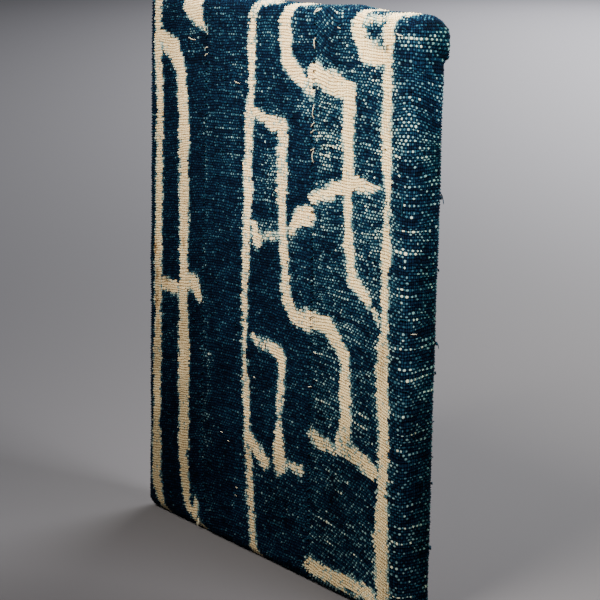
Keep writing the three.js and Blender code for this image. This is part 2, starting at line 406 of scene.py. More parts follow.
def lay_out(strip, first_line, last_line, chance):
    """Lengths across and up for every point of a strip's grid."""
    up_lines = line_places(PICK_COUNTS[strip], HALF_FRONT_UP)
    across = np.repeat(ACROSS_LINES[first_line:last_line + 1, None], len(up_lines), axis=1)
    up = np.repeat(up_lines[None, :], last_line - first_line + 1, axis=0)
    shape = across.shape
    to_corner = np.hypot(
        np.maximum(0, HALF_FRONT_ACROSS - np.abs(across)),
        np.maximum(0, HALF_FRONT_UP - np.abs(up)),
    )
    calm = ease(to_corner / CORNER_CALM)
    wander_up = layered_noise(chance, shape, WANDER_UP)
    wander_across = layered_noise(chance, shape, WANDER_ACROSS)
    sag = sum(place[4] * near(across, up + HALF_HEIGHT, place) for place in PICK_SAGS)
    raised = climb(strip, across, up) + wander_up + sag
    up = up + calm * raised

    left, right = STRIP_EDGES[strip]
    share = np.clip((across - left) / (right - left), 0, 1)
    shift = np.zeros(shape)
    if strip != "left":
        seam = 0 if strip == "middle" else 1
        shift += (seam_at(seam, up) - SEAM_LAP - left) * (1 - share)
    if strip != "right":
        seam = 0 if strip == "left" else 1
        shift += (seam_at(seam, up) + SEAM_LAP - right) * share
    inside = ease(np.minimum(share, 1 - share) * (right - left) / SEAM_CALM)
    raw_edge_side = ((share <= 0) | (share >= 1)) & (np.abs(across) > RAW_EDGE_PAST)
    shift += wander_across * calm * np.where(raw_edge_side, 1, inside)
    return across + shift, up


def seam_distance(strip, across, up):
    """How far a point is from its strip's nearest seam."""
    gaps = []
    if strip != "left":
        gaps.append(np.abs(across - seam_at(0 if strip == "middle" else 1, up)))
    if strip != "right":
        gaps.append(np.abs(across - seam_at(0 if strip == "left" else 1, up)))
    return np.minimum.reduce(gaps)


def cloth_point(across, up, lift, is_outer):
    """Points of the cloth, in metres, for flat lengths and a height above the surface."""
    inner, facing = plain_form(across, up)
    surface = inner + facing * EDGE_RADIUS
    moved = swell(surface, facing, is_outer)
    point = surface + moved + facing * lift[..., None] + MIDDLE
    lowest = FLOOR_GAP if is_outer else FLOOR_GAP + CLOTH
    on_bottom = facing[..., 2] < -0.3
    point[..., 2] = np.where(on_bottom, np.maximum(point[..., 2], lowest), point[..., 2])
    return point * MM


# %% [markdown]
# ## From a grid to a closed strip
#
# A strip is a closed shell: the fine outer side, a plain inner side two millimetres in, and a
# rim that joins them along the seams and the raw edge. Where two returns meet at a corner the
# grid would overlap itself, so its corner squares are left out and their two sides are joined.

# %% Which points and cells of the grid are used
SPARSE = (slice(None, None, INNER_STEPS), slice(None, None, INNER_STEPS))  # the inner side's lines
print("lines of a left-out corner square, on the outer side:", EDGE_LINE)


def corner_joined(numbers, first, edge, last_edge, last_up):
    """Give the points along each left-out corner's two sides the same numbers."""
    for is_left in (True, False):
        column = edge - first if is_left else last_edge - first
        if not 0 <= column < numbers.shape[0]:
            continue
        for is_low in (True, False):
            row = edge if is_low else last_up
            steps = np.arange(1, edge + 1)
            columns = column - steps if is_left else column + steps
            rows = row - steps if is_low else row + steps
            numbers[columns, row] = numbers[column, rows]
    return numbers


def kept_cells(first, count_across, count_up, last_up):
    """True for the cells that aren't in a left-out corner square."""
    column = first + np.arange(count_across)[:, None]
    row = np.arange(count_up)[None, :]
    beside = (column < EDGE_LINE) | (column >= LAST_ACROSS)
    beyond = (row < EDGE_LINE) | (row >= last_up)
    return ~(beside & beyond)


def cell_quads(numbers, kept):
    """The four corner numbers of every kept cell, and which cell it is."""
    quads = np.stack([numbers[:-1, :-1], numbers[1:, :-1], numbers[1:, 1:], numbers[:-1, 1:]], -1)
    return quads[kept], np.argwhere(kept)


# %% [markdown]
# ## The rim
#
# The rim follows the strip's outline, once round. For every four steps of the fine outer side
# the inner side takes one, so five triangles join each such stretch.

# %% The rim of a strip
RIM_TRIANGLES = INNER_STEPS + 1
print("triangles for each stretch of the rim:", RIM_TRIANGLES)


def rim_path(first, last, top, last_up, has_left_seam, has_right_seam):
    """The outline of a strip in its grid, anticlockwise as seen from the front."""
    low = 0 if has_left_seam else EDGE_LINE - first
    high = last - first if has_right_seam else LAST_ACROSS - first
    columns = list(range(low, high + 1))
    left_rows = range(0, top + 1) if has_left_seam else range(EDGE_LINE, last_up + 1)
    right_rows = range(0, top + 1) if has_right_seam else range(EDGE_LINE, last_up + 1)
    path = [(column, 0) for column in columns]
    path += [(last - first, row) for row in right_rows]
    path += [(column, top) for column in reversed(columns)]
    path += [(0, row) for row in reversed(left_rows)]
    return path


def make_rim(path, outer, inner):
    """Triangles from the outer side's outline to the inner side's, and the cell of each."""
    clean = [path[0]]
    for place in path[1:]:
        if outer[place] != outer[clean[-1]]:
            clean.append(place)
    if outer[clean[-1]] == outer[clean[0]]:
        clean.pop()
    rim, rim_cells = [], []
    for i in range(0, len(clean), INNER_STEPS):
        places = [clean[(i + k) % len(clean)] for k in range(INNER_STEPS + 1)]
        o0, o1, o2, o3, o4 = [int(outer[place]) for place in places]
        i0, i1 = [int(inner[c // INNER_STEPS, r // INNER_STEPS]) for c, r in (places[0], places[-1])]
        rim += [(o1, o0, i0), (o2, o1, i0), (o2, i0, i1), (o3, o2, i1), (o4, o3, i1)]
        rim_cells += [(places[2][0] // STEPS, places[2][1] // STEPS)] * RIM_TRIANGLES
    return rim, np.array(rim_cells)


# %% [markdown]
# ## From numbers to a mesh
#
# A grid of this size is made with `from_pydata`, which takes a list of points and a list of
# faces, because an operator would need a click for each thread. The grid's own counting goes
# into a UV map called threads: one unit is one thread, so a material can tell which thread it
# paints. What the dye did at each crossing goes into attributes, which are named numbers that
# each face carries.

# %% Points, faces and thread map of a strip
THREADS_OF_INNER = INNER_STEPS // STEPS  # threads in one step of the inner side
CROSSINGS = (slice(1, None, STEPS), slice(1, None, STEPS))  # the lines that run over the crests
QUAD_CORNERS = np.array([(0, 0), (1, 0), (1, 1), (0, 1)])
print("threads in a cell of the inner side:", THREADS_OF_INNER, "x", THREADS_OF_INNER)


def shell_points(strip, first, across, up, chance):
    """Points of the fine outer side and then of the plain inner side, in metres."""
    dip = -SEAM_DIP * (1 - ease(seam_distance(strip, across, up) / SEAM_ROLL)) ** 2
    lift = thread_relief(first, *across.shape, chance) + dip
    outer = cloth_point(across, up, lift, True)
    inner = cloth_point(across[SPARSE], up[SPARSE], dip[SPARSE] - CLOTH, False)
    return np.concatenate([outer.reshape(-1, 3), inner.reshape(-1, 3)])


def shell_faces(strip, first, last, shape):
    """Faces of the outer side, the inner side and the rim, and the cells they lie in."""
    count_across, count_up = shape
    last_up = EDGE_LINE + STEPS * PICK_COUNTS[strip]
    numbers = np.arange(count_across * count_up).reshape(shape)
    inner_shape = numbers[SPARSE].shape
    inner_numbers = numbers.size + np.arange(numbers[SPARSE].size).reshape(inner_shape)
    outer = corner_joined(numbers, first, EDGE_LINE, LAST_ACROSS, last_up)
    places = [line // INNER_STEPS for line in (first, EDGE_LINE, LAST_ACROSS, last_up)]
    inner = corner_joined(inner_numbers, *places)
    kept = kept_cells(first, count_across - 1, count_up - 1, last_up)
    outer_quads, outer_cells = cell_quads(outer, kept)
    inner_quads, inner_cells = cell_quads(inner, kept[SPARSE])
    path = rim_path(first, last, count_up - 1, last_up, strip != "left", strip != "right")
    rim, rim_cells = make_rim(path, outer, inner)
    rim_cells = np.minimum(rim_cells, [(count_across - 2) // STEPS, (count_up - 2) // STEPS])
    faces = (outer_quads, inner_quads[:, ::-1], np.array(rim))
    return faces, (outer_cells, inner_cells, rim_cells)


def thread_map(first, outer_cells, inner_cells, rim_cells):
    """Where each corner of each face lies, counted in threads."""
    uv = np.concatenate([
        ((outer_cells[:, None, :] + QUAD_CORNERS) / STEPS).reshape(-1, 2),
        ((inner_cells[:, None, :] + QUAD_CORNERS)[:, ::-1] * THREADS_OF_INNER).reshape(-1, 2),
        np.repeat(rim_cells + 0.5, 3, axis=0),
    ])
    uv[:, 0] += first // STEPS
    return uv


# %% Build a strip's mesh
laid_out = {}  # where every line of each strip lies, for the frayed ends that start there


def make_strip(name, strip, first, last, seed):
    """One strip as a closed mesh, with its thread map and what the dye did to each face."""
    chance = np.random.default_rng(seed)
    across, up = lay_out(strip, first, last, chance)
    laid_out[strip] = (across, up)
    points = shell_points(strip, first, across, up, chance)
    faces, cells = shell_faces(strip, first, last, across.shape)
    corner_numbers = np.concatenate([group.ravel() for group in faces])
    sizes = np.concatenate([np.full(len(group), group.shape[1]) for group in faces])
    starts = np.concatenate([[0], np.cumsum(sizes)[:-1]])
    used, renumbered = np.unique(corner_numbers, return_inverse=True)
    polygons = [tuple(renumbered[s:s + n].tolist()) for s, n in zip(starts, sizes)]
    mesh = bpy.data.meshes.new(name)
    mesh.from_pydata(points[used].tolist(), [], polygons)

    uv = thread_map(first, *cells)
    mesh.uv_layers.new(name="threads").data.foreach_set("uv", uv.astype(np.float32).ravel())
    outer_cells, inner_cells, rim_cells = cells
    crossings = np.concatenate([outer_cells // STEPS, inner_cells * THREADS_OF_INNER, rim_cells])
    for title, values in dye_values(strip, across[CROSSINGS], up[CROSSINGS], chance).items():
        attribute = mesh.attributes.new(title, "FLOAT", "FACE")
        of_face = values[crossings[:, 0], crossings[:, 1]]
        attribute.data.foreach_set("value", of_face.astype(np.float32))
    mesh.shade_smooth()
    mesh.update()
    piece = bpy.data.objects.new(name, mesh)
    bpy.context.scene.collection.objects.link(piece)
    print(name, "triangles:", int((sizes - 2).sum()), "valid:", not mesh.validate())
    return piece


# %% [markdown]
# ## The resist-dyed pattern
#
# Before the cloth went into the indigo, lines of it were stitched and tied tight, so that
# they stayed the colour of raw cotton. Each line below is one such stroke, with its places in
# millimetres: how far right of the middle, how high above the floor, and how wide it is there.
# `clear` says how well the tie kept the dye out, from 0 to 1. The chart gives only where a
# stroke starts, bends and ends, in whole millimetres, because its edges weren't drawn by
# anyone: they are as wide as a tie happened to be. Chance makes them thick and thin below.

# %% The strokes of the pattern
STROKES = [
    {"name": "stripe_1", "clear": 0.96, "line": [
        (-112, 318, 9), (-107, 240, 7), (-109, 140, 8), (-110, 20, 8), (-100, -3, 7)]},
    {"name": "blob", "clear": 0.97, "line": [(-75, 318, 16), (-74, 300, 16), (-62, 287, 5)]},
    {"name": "band_a", "clear": 0.97, "line": [(-107, 280, 9), (-92, 273, 13), (-84, 262, 10)]},
    {"name": "stripe_2", "clear": 0.98, "line": [
        (-84, 262, 10), (-81, 220, 10), (-81, 130, 8), (-80, 110, 11), (-80, 40, 11), (-76, 14, 8),
        (-60, 0, 6)]},
    {"name": "spike", "clear": 0.95, "line": [(-66, 17, 3), (-67, 11, 8)]},
    {"name": "cross_left", "clear": 0.93, "line": [(-102, 138, 8), (-91, 138, 10)]},
    {"name": "cross_left_gap", "clear": 0.45, "line": [(-91, 138, 8), (-84, 137, 7)]},
    {"name": "cross_right", "clear": 0.95, "line": [(-76, 144, 8), (-70, 143, 11), (-65, 136, 4)]},
    {"name": "stripe_3", "clear": 0.72, "line": [(-12, 318, 7), (-14, 278, 7)]},
    {"name": "stripe_3_bright", "clear": 0.94, "line": [(-14, 274, 8), (-14, 260, 6)]},
    {"name": "stripe_3_mid", "clear": 0.8, "line": [(-14, 260, 6), (-15, 240, 8), (-16, 202, 8)]},
    {"name": "stripe_3_lower", "clear": 0.9, "line": [(-16, 202, 8), (-18, 138, 6)]},
    {"name": "stripe_3_worn", "clear": 0.6, "line": [(-18, 138, 5), (-17, 106, 4)]},
    {"name": "stripe_3_low", "clear": 0.84, "line": [(-17, 104, 5), (-15, 90, 7), (-14, 67, 5)]},
    {"name": "stripe_3_neck", "clear": 0.6, "line": [(-14, 67, 5), (-12, 55, 6)]},
    {"name": "foot_left", "clear": 0.93, "line": [(-12, 67, 7), (4, 57, 8)]},
    {"name": "stripe_3_foot", "clear": 0.9, "line": [(-12, 55, 6), (-9, 30, 7)]},
    {"name": "stripe_3_thin", "clear": 0.5, "line": [(-9, 30, 4), (-8, 23, 5)]},
    {"name": "stripe_3_end", "clear": 0.9, "line": [(-8, 23, 7), (-4, -8, 6)]},
    {"name": "stripe_3_over", "clear": 0.9, "line": [(-11, 307, 6), (1, 308, 4)]},
    {"name": "stripe_4_over", "clear": 0.9, "line": [(20, 308, 5), (27, 308, 3)]},
    {"name": "stripe_4_top", "clear": 0.97, "line": [
        (20, 318, 8), (17, 295, 10), (18, 276, 10), (31, 268, 9)]},
    {"name": "stripe_4_tail", "clear": 0.55, "line": [(31, 268, 8), (40, 261, 6)]},
    {"name": "band_b", "clear": 0.84, "line": [(-9, 246, 6), (14, 240, 8)]},
    {"name": "stripe_4_mid", "clear": 0.76, "line": [(16, 241, 9), (16, 200, 9)]},
    {"name": "stripe_4_lower", "clear": 0.88, "line": [
        (16, 200, 9), (20, 165, 7), (22, 150, 8), (30, 142, 8), (42, 141, 9)]},
    {"name": "patch", "clear": 0.95, "line": [(-9, 185, 6), (-6, 177, 8)]},
    {"name": "patch_tail", "clear": 0.2, "line": [(-3, 180, 6), (13, 183, 5)]},
    {"name": "rise", "clear": 0.95, "line": [(25, 188, 5), (33, 196, 10), (40, 198, 11)]},
    {"name": "low_patch", "clear": 0.95, "line": [(-8, 124, 6), (-5, 122, 7)]},
    {"name": "low_gap", "clear": 0.25, "line": [(-2, 122, 7), (4, 121, 7)]},
    {"name": "low_band", "clear": 0.93, "line": [(5, 122, 6), (16, 120, 9), (19, 114, 8)]},
    {"name": "stripe_4_low", "clear": 0.95, "line": [(19, 114, 8), (18, 104, 6)]},
    {"name": "stripe_4_worn", "clear": 0.66, "line": [(18, 104, 6), (17, 90, 6)]},
    {"name": "stripe_4_thin", "clear": 0.5, "line": [(17, 90, 5), (17, 78, 5)]},
    {"name": "stripe_4_foot", "clear": 0.95, "line": [(17, 78, 6), (19, 58, 12)]},
    {"name": "foot_right", "clear": 0.42, "line": [(22, 60, 8), (29, 60, 7)]},
    {"name": "foot_right_end", "clear": 0.85, "line": [(29, 61, 5), (37, 60, 7)]},
    {"name": "band_c", "clear": 0.98, "line": [(43, 271, 12), (74, 265, 10)]},
    {"name": "stripe_5", "clear": 0.98, "line": [
        (74, 265, 10), (75, 200, 7), (80, 172, 9), (103, 153, 4)]},
    {"name": "cross_c", "clear": 0.93, "line": [(43, 207, 7), (75, 217, 8)]},
    {"name": "cross_c_right", "clear": 0.96, "line": [(79, 219, 7), (95, 219, 6)]},
    {"name": "cross_c_gap", "clear": 0.4, "line": [(95, 219, 5), (103, 220, 4)]},
    {"name": "top_c", "clear": 0.98, "line": [
        (79, 318, 8), (79, 297, 9), (86, 285, 11), (102, 283, 10)]},
    {"name": "top_c_over", "clear": 0.92, "line": [(98, 309, 4), (117, 308, 3)]},
    {"name": "hole_top", "clear": 0.3, "line": [(85, 303, 6), (97, 303, 6)]},
    {"name": "hole_side", "clear": 0.3, "line": [(85, 301, 3), (85, 293, 3)]},
    {"name": "hole_foot", "clear": 0.4, "line": [(86, 291, 4), (97, 290, 4)]},
    {"name": "stripe_6", "clear": 0.98, "line": [
        (104, 318, 9), (105, 285, 8), (105, 240, 7), (107, 217, 6)]},
    {"name": "stripe_6_worn", "clear": 0.84, "line": [(107, 217, 6), (107, 197, 6)]},
    {"name": "stripe_6_low", "clear": 0.97, "line": [
        (107, 197, 7), (107, 150, 7), (107, 125, 9), (109, 95, 8), (109, 40, 10), (112, -10, 9)]},
    {"name": "low_c", "clear": 0.97, "line": [(43, 143, 10), (60, 143, 11), (75, 130, 9), (77, 96, 8)]},
    {"name": "low_c_foot", "clear": 0.8, "line": [(77, 96, 9), (76, 89, 10)]},
    {"name": "low_c_toe", "clear": 0.5, "line": [(76, 89, 10), (76, 82, 8)]},
    {"name": "foot_c_start", "clear": 0.66, "line": [(46, 82, 6), (56, 80, 8)]},
    {"name": "foot_c", "clear": 0.42, "line": [(56, 80, 6), (72, 80, 6)]},
    {"name": "diagonal_c", "clear": 0.58, "line": [(73, 83, 9), (88, 80, 9)]},
    {"name": "diagonal_c_end", "clear": 0.95, "line": [(87, 80, 9), (101, 75, 8)]},
    {"name": "bottom_c", "clear": 0.85, "line": [(46, 10, 8), (102, 10, 9)]},
]

EDGE_SOFTNESS = 1.5  # mm over which the dye creeps into a stroke
HALO_REACH = 1.6  # mm over which the flecks beside a stroke are paler
widest = max(STROKES, key=lambda stroke: max(width for _, _, width in stroke["line"]))
print("strokes:", len(STROKES), " widest:", widest["name"])


def stroke_gap(across, height, line):
    """How far each place is outside a stroke. It is negative inside."""
    nearest = np.full(across.shape, 1e9)
    for (x0, z0, w0), (x1, z1, w1) in zip(line, line[1:]):
        run, rise = x1 - x0, z1 - z0
        share = ((across - x0) * run + (height - z0) * rise) / (run * run + rise * rise)
        share = np.clip(share, 0, 1)
        away = np.hypot(across - x0 - share * run, height - z0 - share * rise)
        nearest = np.minimum(nearest, away - mix(w0, w1, share) / 2)
    return nearest


# %% [markdown]
# ## Pale threads between the lines
#
# Hand-spun yarn drinks unevenly, so the blue is full of pale flecks where a weft float
# stands up. Some parts of the cloth have many and some have few: each zone below is a soft
# patch of them, as place, reach and strength. A strength below zero makes a patch darker. A
# few thick picks stayed nearly white for several centimetres, and are listed one by one.

# %% Zones, bright picks and brown spots
MOST_PALE = 0.62  # the flecks of the zones come near to this and never past it
LEAST_PALE = 0.03  # what is left where the zones cancel out
FLECKS = {"level": 0.72, "rows": 0.3, "patches": 0.26, "streaks": 0.42, "single": 0.34}
STRIP_PALENESS = {"left": 0.13, "middle": 0.18, "right": 0.4}
PALE_ZONES = [  # across, height, reach across, reach up, strength
    (-73, 279, 9, 7, 0.45), (-94, 262, 6, 12, 0.12), (-96, 125, 10, 14, 0.1), (-58.5, 225, 4, 30, 0.25),
    (-58, 150, 4, 12, 0.3), (-57.5, 110, 5, 16, 0.35), (-57, 50, 5, 10, 0.3), (-40, 262, 16, 18, 0.14),
    (-40, 232, 18, 16, 0.12), (-22, 240, 4, 60, 0.25), (3, 275, 10, 26, 0.16), (4, 225, 12, 26, 0.3),
    (8, 200, 10, 16, 0.3), (4, 182, 12, 6, 0.3), (32, 290, 9, 16, 0.4), (36, 252, 8, 10, 0.25),
    (30, 170, 12, 18, 0.2), (24, 95, 14, 24, 0.1), (8, 40, 26, 20, 0.14), (-30, 95, 14, 40, -0.05),
    (60, 296, 10, 8, 0.15), (56, 250, 10, 14, 0.5), (62, 235, 14, 8, 0.45), (90, 275, 10, 8, 0.1),
    (92, 240, 12, 24, 0.05), (60, 190, 12, 16, 0.22), (93, 190, 10, 20, 0.3), (58, 120, 12, 12, 0.1),
    (92, 118, 9, 26, 0.06), (60, 98, 12, 6, 0.3), (70, 50, 30, 14, -0.1), (60, 30, 20, 8, 0.15),
    (120, 240, 12, 34, 0.36), (-56.5, 70, 6, 14, 0.28), (92, 300, 8, 5, 0.5), (90, 232, 12, 10, 0.12),
    (118, 190, 12, 20, 0.08), (118, 130, 10, 40, 0.08), (122, 40, 12, 20, 0.15),
    (136, 230, 7, 70, 0.06), (124, 272, 10, 12, -0.16),
]
BRIGHT_PICKS = [  # across, height, reach to each side, strength
    (112, 240, 14, 0.8), (108, 238, 12, 0.6), (60, 240, 13, 0.6), (60, 236, 12, 0.7), (60, 231, 12, 0.5),
    (118, 201, 13, 0.4), (116, 196, 12, 0.4), (122, 192, 9, 0.6), (120, 189, 9, 0.5), (117, 173, 6, 0.6),
    (118, 169, 8, 0.4), (117, 142, 4, 0.6), (129, 127, 10, 0.7), (127, 116, 8, 0.3), (128, 50, 12, 0.9),
    (127, 42, 12, 0.6), (124, 28, 11, 0.5), (122, 14, 9, 0.8), (119, 294, 8, 0.8), (121, 290, 6, 0.6),
    (90, 103, 8, 0.6), (88, 98, 8, 0.5), (56, 103, 10, 0.6), (-20, 122, 8, 0.3), (-76, 236, 14, 0.3),
    (70, 38, 24, 0.3), (60, 24, 18, 0.2),
]
SCATTERED = {  # how many short pale runs, between where, and how strong
    "left": (50, -120, -62, 0.3), "middle": (130, -58, 42, 0.3), "right": (240, 46, 140, 0.4),
}
BROWN_SPOTS = [  # across, height, reach across, reach up, strength
    (-112, 158, 3, 7, 0.9), (-110, 142, 2, 5, 0.7), (-110, 127, 2, 6, 0.9), (-109, 112, 2, 4, 0.8),
    (-100, 141, 3, 2, 0.7), (-81, 165, 2, 5, 0.5), (-98, 282, 2, 2, 0.6), (-96, 136, 5, 2, 0.4),
    (104, 288, 1.5, 2, 0.9), (97, 288, 4, 1.5, 0.4), (107, 135, 3, 12, 0.4),
]
print("zones:", len(PALE_ZONES), " bright picks:", len(BRIGHT_PICKS), " brown spots:", len(BROWN_SPOTS))


def scattered_picks(strip, chance):
    """Short runs of paler weft, as place, reach and strength, scattered over a strip."""
    count, left, right, strongest = SCATTERED[strip]
    draws = chance.random((count, 4))
    return [(left + (right - left) * a, 305 * h, 1.5 + 7 * r * r, strongest * (0.35 + 0.65 * s))
            for a, h, r, s in draws]


def paleness(strip, across, height, chance):
    """How pale each crossing's float is, from 0 for deep blue to 1 for nearly white."""
    shape = across.shape
    zone = STRIP_PALENESS[strip] + sum(place[4] * near(across, height, place) for place in PALE_ZONES)
    rows = FLECKS["rows"] * soft_noise(chance, shape, (24, 1))
    patches = FLECKS["patches"] * soft_noise(chance, shape, (8, 6))
    streaks = FLECKS["streaks"] * soft_noise(chance, shape, (3, 1))
    single = FLECKS["single"] * chance.standard_normal(shape)
    pale = np.maximum(zone, LEAST_PALE) * (FLECKS["level"] + rows + patches + streaks + single)
    pale = MOST_PALE * (1 - np.exp(-np.maximum(pale, 0) / MOST_PALE))
    columns = np.arange(shape[0])
    for pick_across, pick_height, reach, strength in BRIGHT_PICKS + scattered_picks(strip, chance):
        column = int(np.argmin(np.abs(across[:, shape[1] // 2] - pick_across)))
        row = int(np.argmin(np.abs(height[column] - pick_height)))
        if abs(across[column, row] - pick_across) > 3:
            continue
        fade = ease(1.5 - 1.2 * np.abs(across[columns, row] - pick_across) / reach)
        pale[columns, row] += strength * fade * (0.55 + 0.35 * chance.random(shape[0]))
    return np.clip(pale, 0, 0.9)


# %% [markdown]
# ## What the dye did at each crossing
#
# Every crossing of two threads gets five numbers from 0 to 1: how well it was kept from the
# dye, how pale its fleck is, how stained it is, with painted shade added towards the bottom and
# the left, how brown it has become, and how weathered it is on the sides. A thread takes dye as
# a whole, so the numbers change from thread to thread and the pattern's edges are stepped, as
# they are on the cloth. An image texture could hold them as well, but numbers from rules need
# no file and keep their sharpness at any size.

# %% Work out the dye at every crossing
DYE_TITLES = ("resist", "pale", "stain_and_shade", "brown", "weathered")
RAGGED = [(0.5, (10, 1)), (0.4, (3, 3)), (0.6, (9, 7))]  # mm that a stroke's edge wavers
RAGGED_SINGLE = 0.5  # the same, from one crossing to the next
HALO_PALE = 0.35  # how much paler the flecks right beside a stroke are
STAIN_AND_SHADE_LOW = {"below": 215, "blend": 190, "strength": 0.55}  # the lower part is darker, partly from real stain and partly as painted shade
STAIN_AND_SHADE_LEFT = {"left_of": -30, "blend": 60, "strength": 0.4}  # and so is the left, partly stain and partly painted shade
WEATHER_BLEND = 18.0  # mm past an upright edge over which the sides fade
RIGHT_WEATHERED = 0.12  # the right strip is a little faded all over
print("numbers for each crossing:", ", ".join(DYE_TITLES))


def dye_values(strip, across, up, chance):
    """For every crossing: its resist, paleness, staining with painted shade, brown and weathering, from 0
    to 1.
    """
    height = up + HALF_HEIGHT
    shape = across.shape
    ragged = layered_noise(chance, shape, RAGGED) + RAGGED_SINGLE * chance.standard_normal(shape)
    luck = chance.random(shape)
    resist = np.zeros(shape)
    halo = np.zeros(shape)
    for stroke in STROKES:
        gap = stroke_gap(across, height, stroke["line"]) + ragged
        body = 1 - ease(gap / EDGE_SOFTNESS / 2 + 0.5)
        kept_out = np.where(luck < stroke["clear"], 1, 0.1 + 0.5 * luck)
        resist = np.maximum(resist, body * kept_out)
        halo = np.maximum(halo, np.exp(-np.maximum(gap, 0) / HALO_REACH))
    pale = paleness(strip, across, height, chance) + HALO_PALE * halo * chance.random(shape)
    stain_and_shade = 0.1 + 0.12 * soft_noise(chance, shape, (10, 16))
    # Partly painted shade: the stain deepens towards the bottom and the left, where less light falls.
    stain_and_shade = stain_and_shade + STAIN_AND_SHADE_LOW["strength"] * ease((STAIN_AND_SHADE_LOW["below"] - height) / STAIN_AND_SHADE_LOW["blend"])
    stain_and_shade = stain_and_shade + STAIN_AND_SHADE_LEFT["strength"] * ease((STAIN_AND_SHADE_LEFT["left_of"] - across) / STAIN_AND_SHADE_LEFT["blend"])
    brown = sum(place[4] * near(across, height, place) for place in BROWN_SPOTS)
    brown = brown * (0.4 + 0.9 * chance.random(shape))
    past = np.abs(across) - HALF_FRONT_ACROSS
    weathered = ease((past + 2) / WEATHER_BLEND) * (0.7 + 0.3 * soft_noise(chance, shape, (8, 20)))
    weathered = weathered + (RIGHT_WEATHERED if strip == "right" else 0)
    values = (resist, pale, stain_and_shade, brown, weathered)
    return {title: np.clip(value, 0, 1) for title, value in zip(DYE_TITLES, values)}


# %% [markdown]
# ## The three strips
#
# Each strip runs from seam to seam, or to its raw edge on the back. It takes the place of its
# plain solid, which stays in the model for weight and collision and is hidden here. The seed
# fixes its chance draws, so that the cloth comes out the same each time.

# %% Make the three strips
strips = {
    "left": make_strip("indigo_strip_left", "left", 0, FIRST_SEAM, 11),
    "middle": make_strip("indigo_strip_middle", "middle", FIRST_SEAM, SECOND_SEAM, 12),
    "right": make_strip("indigo_strip_right", "right", SECOND_SEAM, LAST_ACROSS + EDGE_LINE, 13),
}
for strip, piece in strips.items():
    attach(piece, "root")
    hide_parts("strip_" + strip)
print("faces in all:", sum(len(piece.data.polygons) for piece in strips.values()))

# %% [markdown]
# ## Making materials from nodes
#
# Two small helpers serve every material: one adds a node with its settings and links, and one
# turns a colour as a picture shows it into the linear values that the shader works with.


# %% Material helpers
def linear(hex_colour):
    """An sRGB colour such as "#12394c" as linear red, green, blue and alpha."""
    parts = [int(hex_colour[i:i + 2], 16) / 255 for i in (1, 3, 5)]
    return [p / 12.92 if p <= 0.04045 else ((p + 0.055) / 1.055) ** 2.4 for p in parts] + [1.0]


def node(tree, kind, inputs=None, **settings):
    """Add a node. A value in inputs is a number, a colour or another node's output."""
    made = tree.nodes.new(kind)
    for key, value in settings.items():
        setattr(made, key, value)
    for key, value in (inputs or {}).items():
        if isinstance(value, bpy.types.NodeSocket):
            tree.links.new(value, made.inputs[key])
        else:
            made.inputs[key].default_value = value
    return made


def new_material(name):
    """An empty material that is made of nodes."""
    material = bpy.data.materials.new(name)
    material.use_nodes = True
    material.node_tree.nodes.clear()
    return material


print("middle grey, #808080, is", round(linear("#808080")[0], 3), "in linear light")

# %% [markdown]
# ## Cotton, hand-spun, plain-woven and dyed with indigo
#
# The material first has to know which thread it paints. The whole part of the thread map is
# the number of the crossing, and the rest says where in it a place lies. Where the two numbers
# add up to an odd one the weft is on top. Each float is a long hump, round across the thread
# and flatter along it.

# %% Which thread is on top, and its hump
FLOAT_BEND = 0.64  # how much of a half turn the hump takes along the thread


def thread_shape(tree):
    """The crossing, 1 where the weft is on top, and the height of the float there."""
    uv = node(tree, "ShaderNodeUVMap", uv_map="threads").outputs[0]
    cell = node(tree, "ShaderNodeVectorMath", {0: uv}, operation="FLOOR").outputs[0]
    inside = node(tree, "ShaderNodeVectorMath", {0: uv}, operation="FRACTION").outputs[0]
    of_cell = node(tree, "ShaderNodeSeparateXYZ", {0: cell}).outputs
    of_inside = node(tree, "ShaderNodeSeparateXYZ", {0: inside}).outputs
    both = node(tree, "ShaderNodeMath", {0: of_cell[0], 1: of_cell[1]}, operation="ADD").outputs[0]
    weft = node(tree, "ShaderNodeMath", {0: both, 1: 2.0}, operation="FLOORED_MODULO").outputs[0]
    humps = []
    for across_thread, along_thread in ((0, 1), (1, 0)):
        factors = []
        for axis, bend in ((across_thread, 1.0), (along_thread, FLOAT_BEND)):
            place = {0: of_inside[axis], 1: 0.5}
            centred = node(tree, "ShaderNodeMath", place, operation="SUBTRACT").outputs[0]
            turn = {0: centred, 1: math.pi * bend}
            angle = node(tree, "ShaderNodeMath", turn, operation="MULTIPLY").outputs[0]
            factors.append(node(tree, "ShaderNodeMath", {0: angle}, operation="COSINE").outputs[0])
        product = {0: factors[0], 1: factors[1]}
        humps.append(node(tree, "ShaderNodeMath", product, operation="MULTIPLY").outputs[0])
    hump = node(tree, "ShaderNodeMix", {0: weft, 2: humps[0], 3: humps[1]}).outputs[0]
    return cell, weft, hump


print("a float's ends stand at", round(math.cos(math.pi * FLOAT_BEND / 2), 2), "of its height")

# %% [markdown]
# ## How much dye shows
#
# The dye is deepest where nothing held it back. It is paler on the crests of the weft, which
# rub, and paler still in flecks where the yarn was too tight to drink. A tuft of noise moves
# each fleck's edge, so no two crests look alike. The sum then runs through a ramp of colours,
# from raw cotton by way of grey-green to the deepest blue.

# %% From dye to colour
TUFTS = 700.0  # noise hills for each metre, about one to a thread
LEAST_DYE = 0.14  # the palest fleck still holds this much, where nothing was tied
DYE_COLOURS = [
    (0.0, "#ffeabd"), (0.1, "#e8dcb8"), (0.24, "#c0cfc4"), (0.4, "#77979b"),
    (0.56, "#2d5363"), (0.7, "#112b41"), (0.86, "#06152a"), (1.0, "#030812"),
]


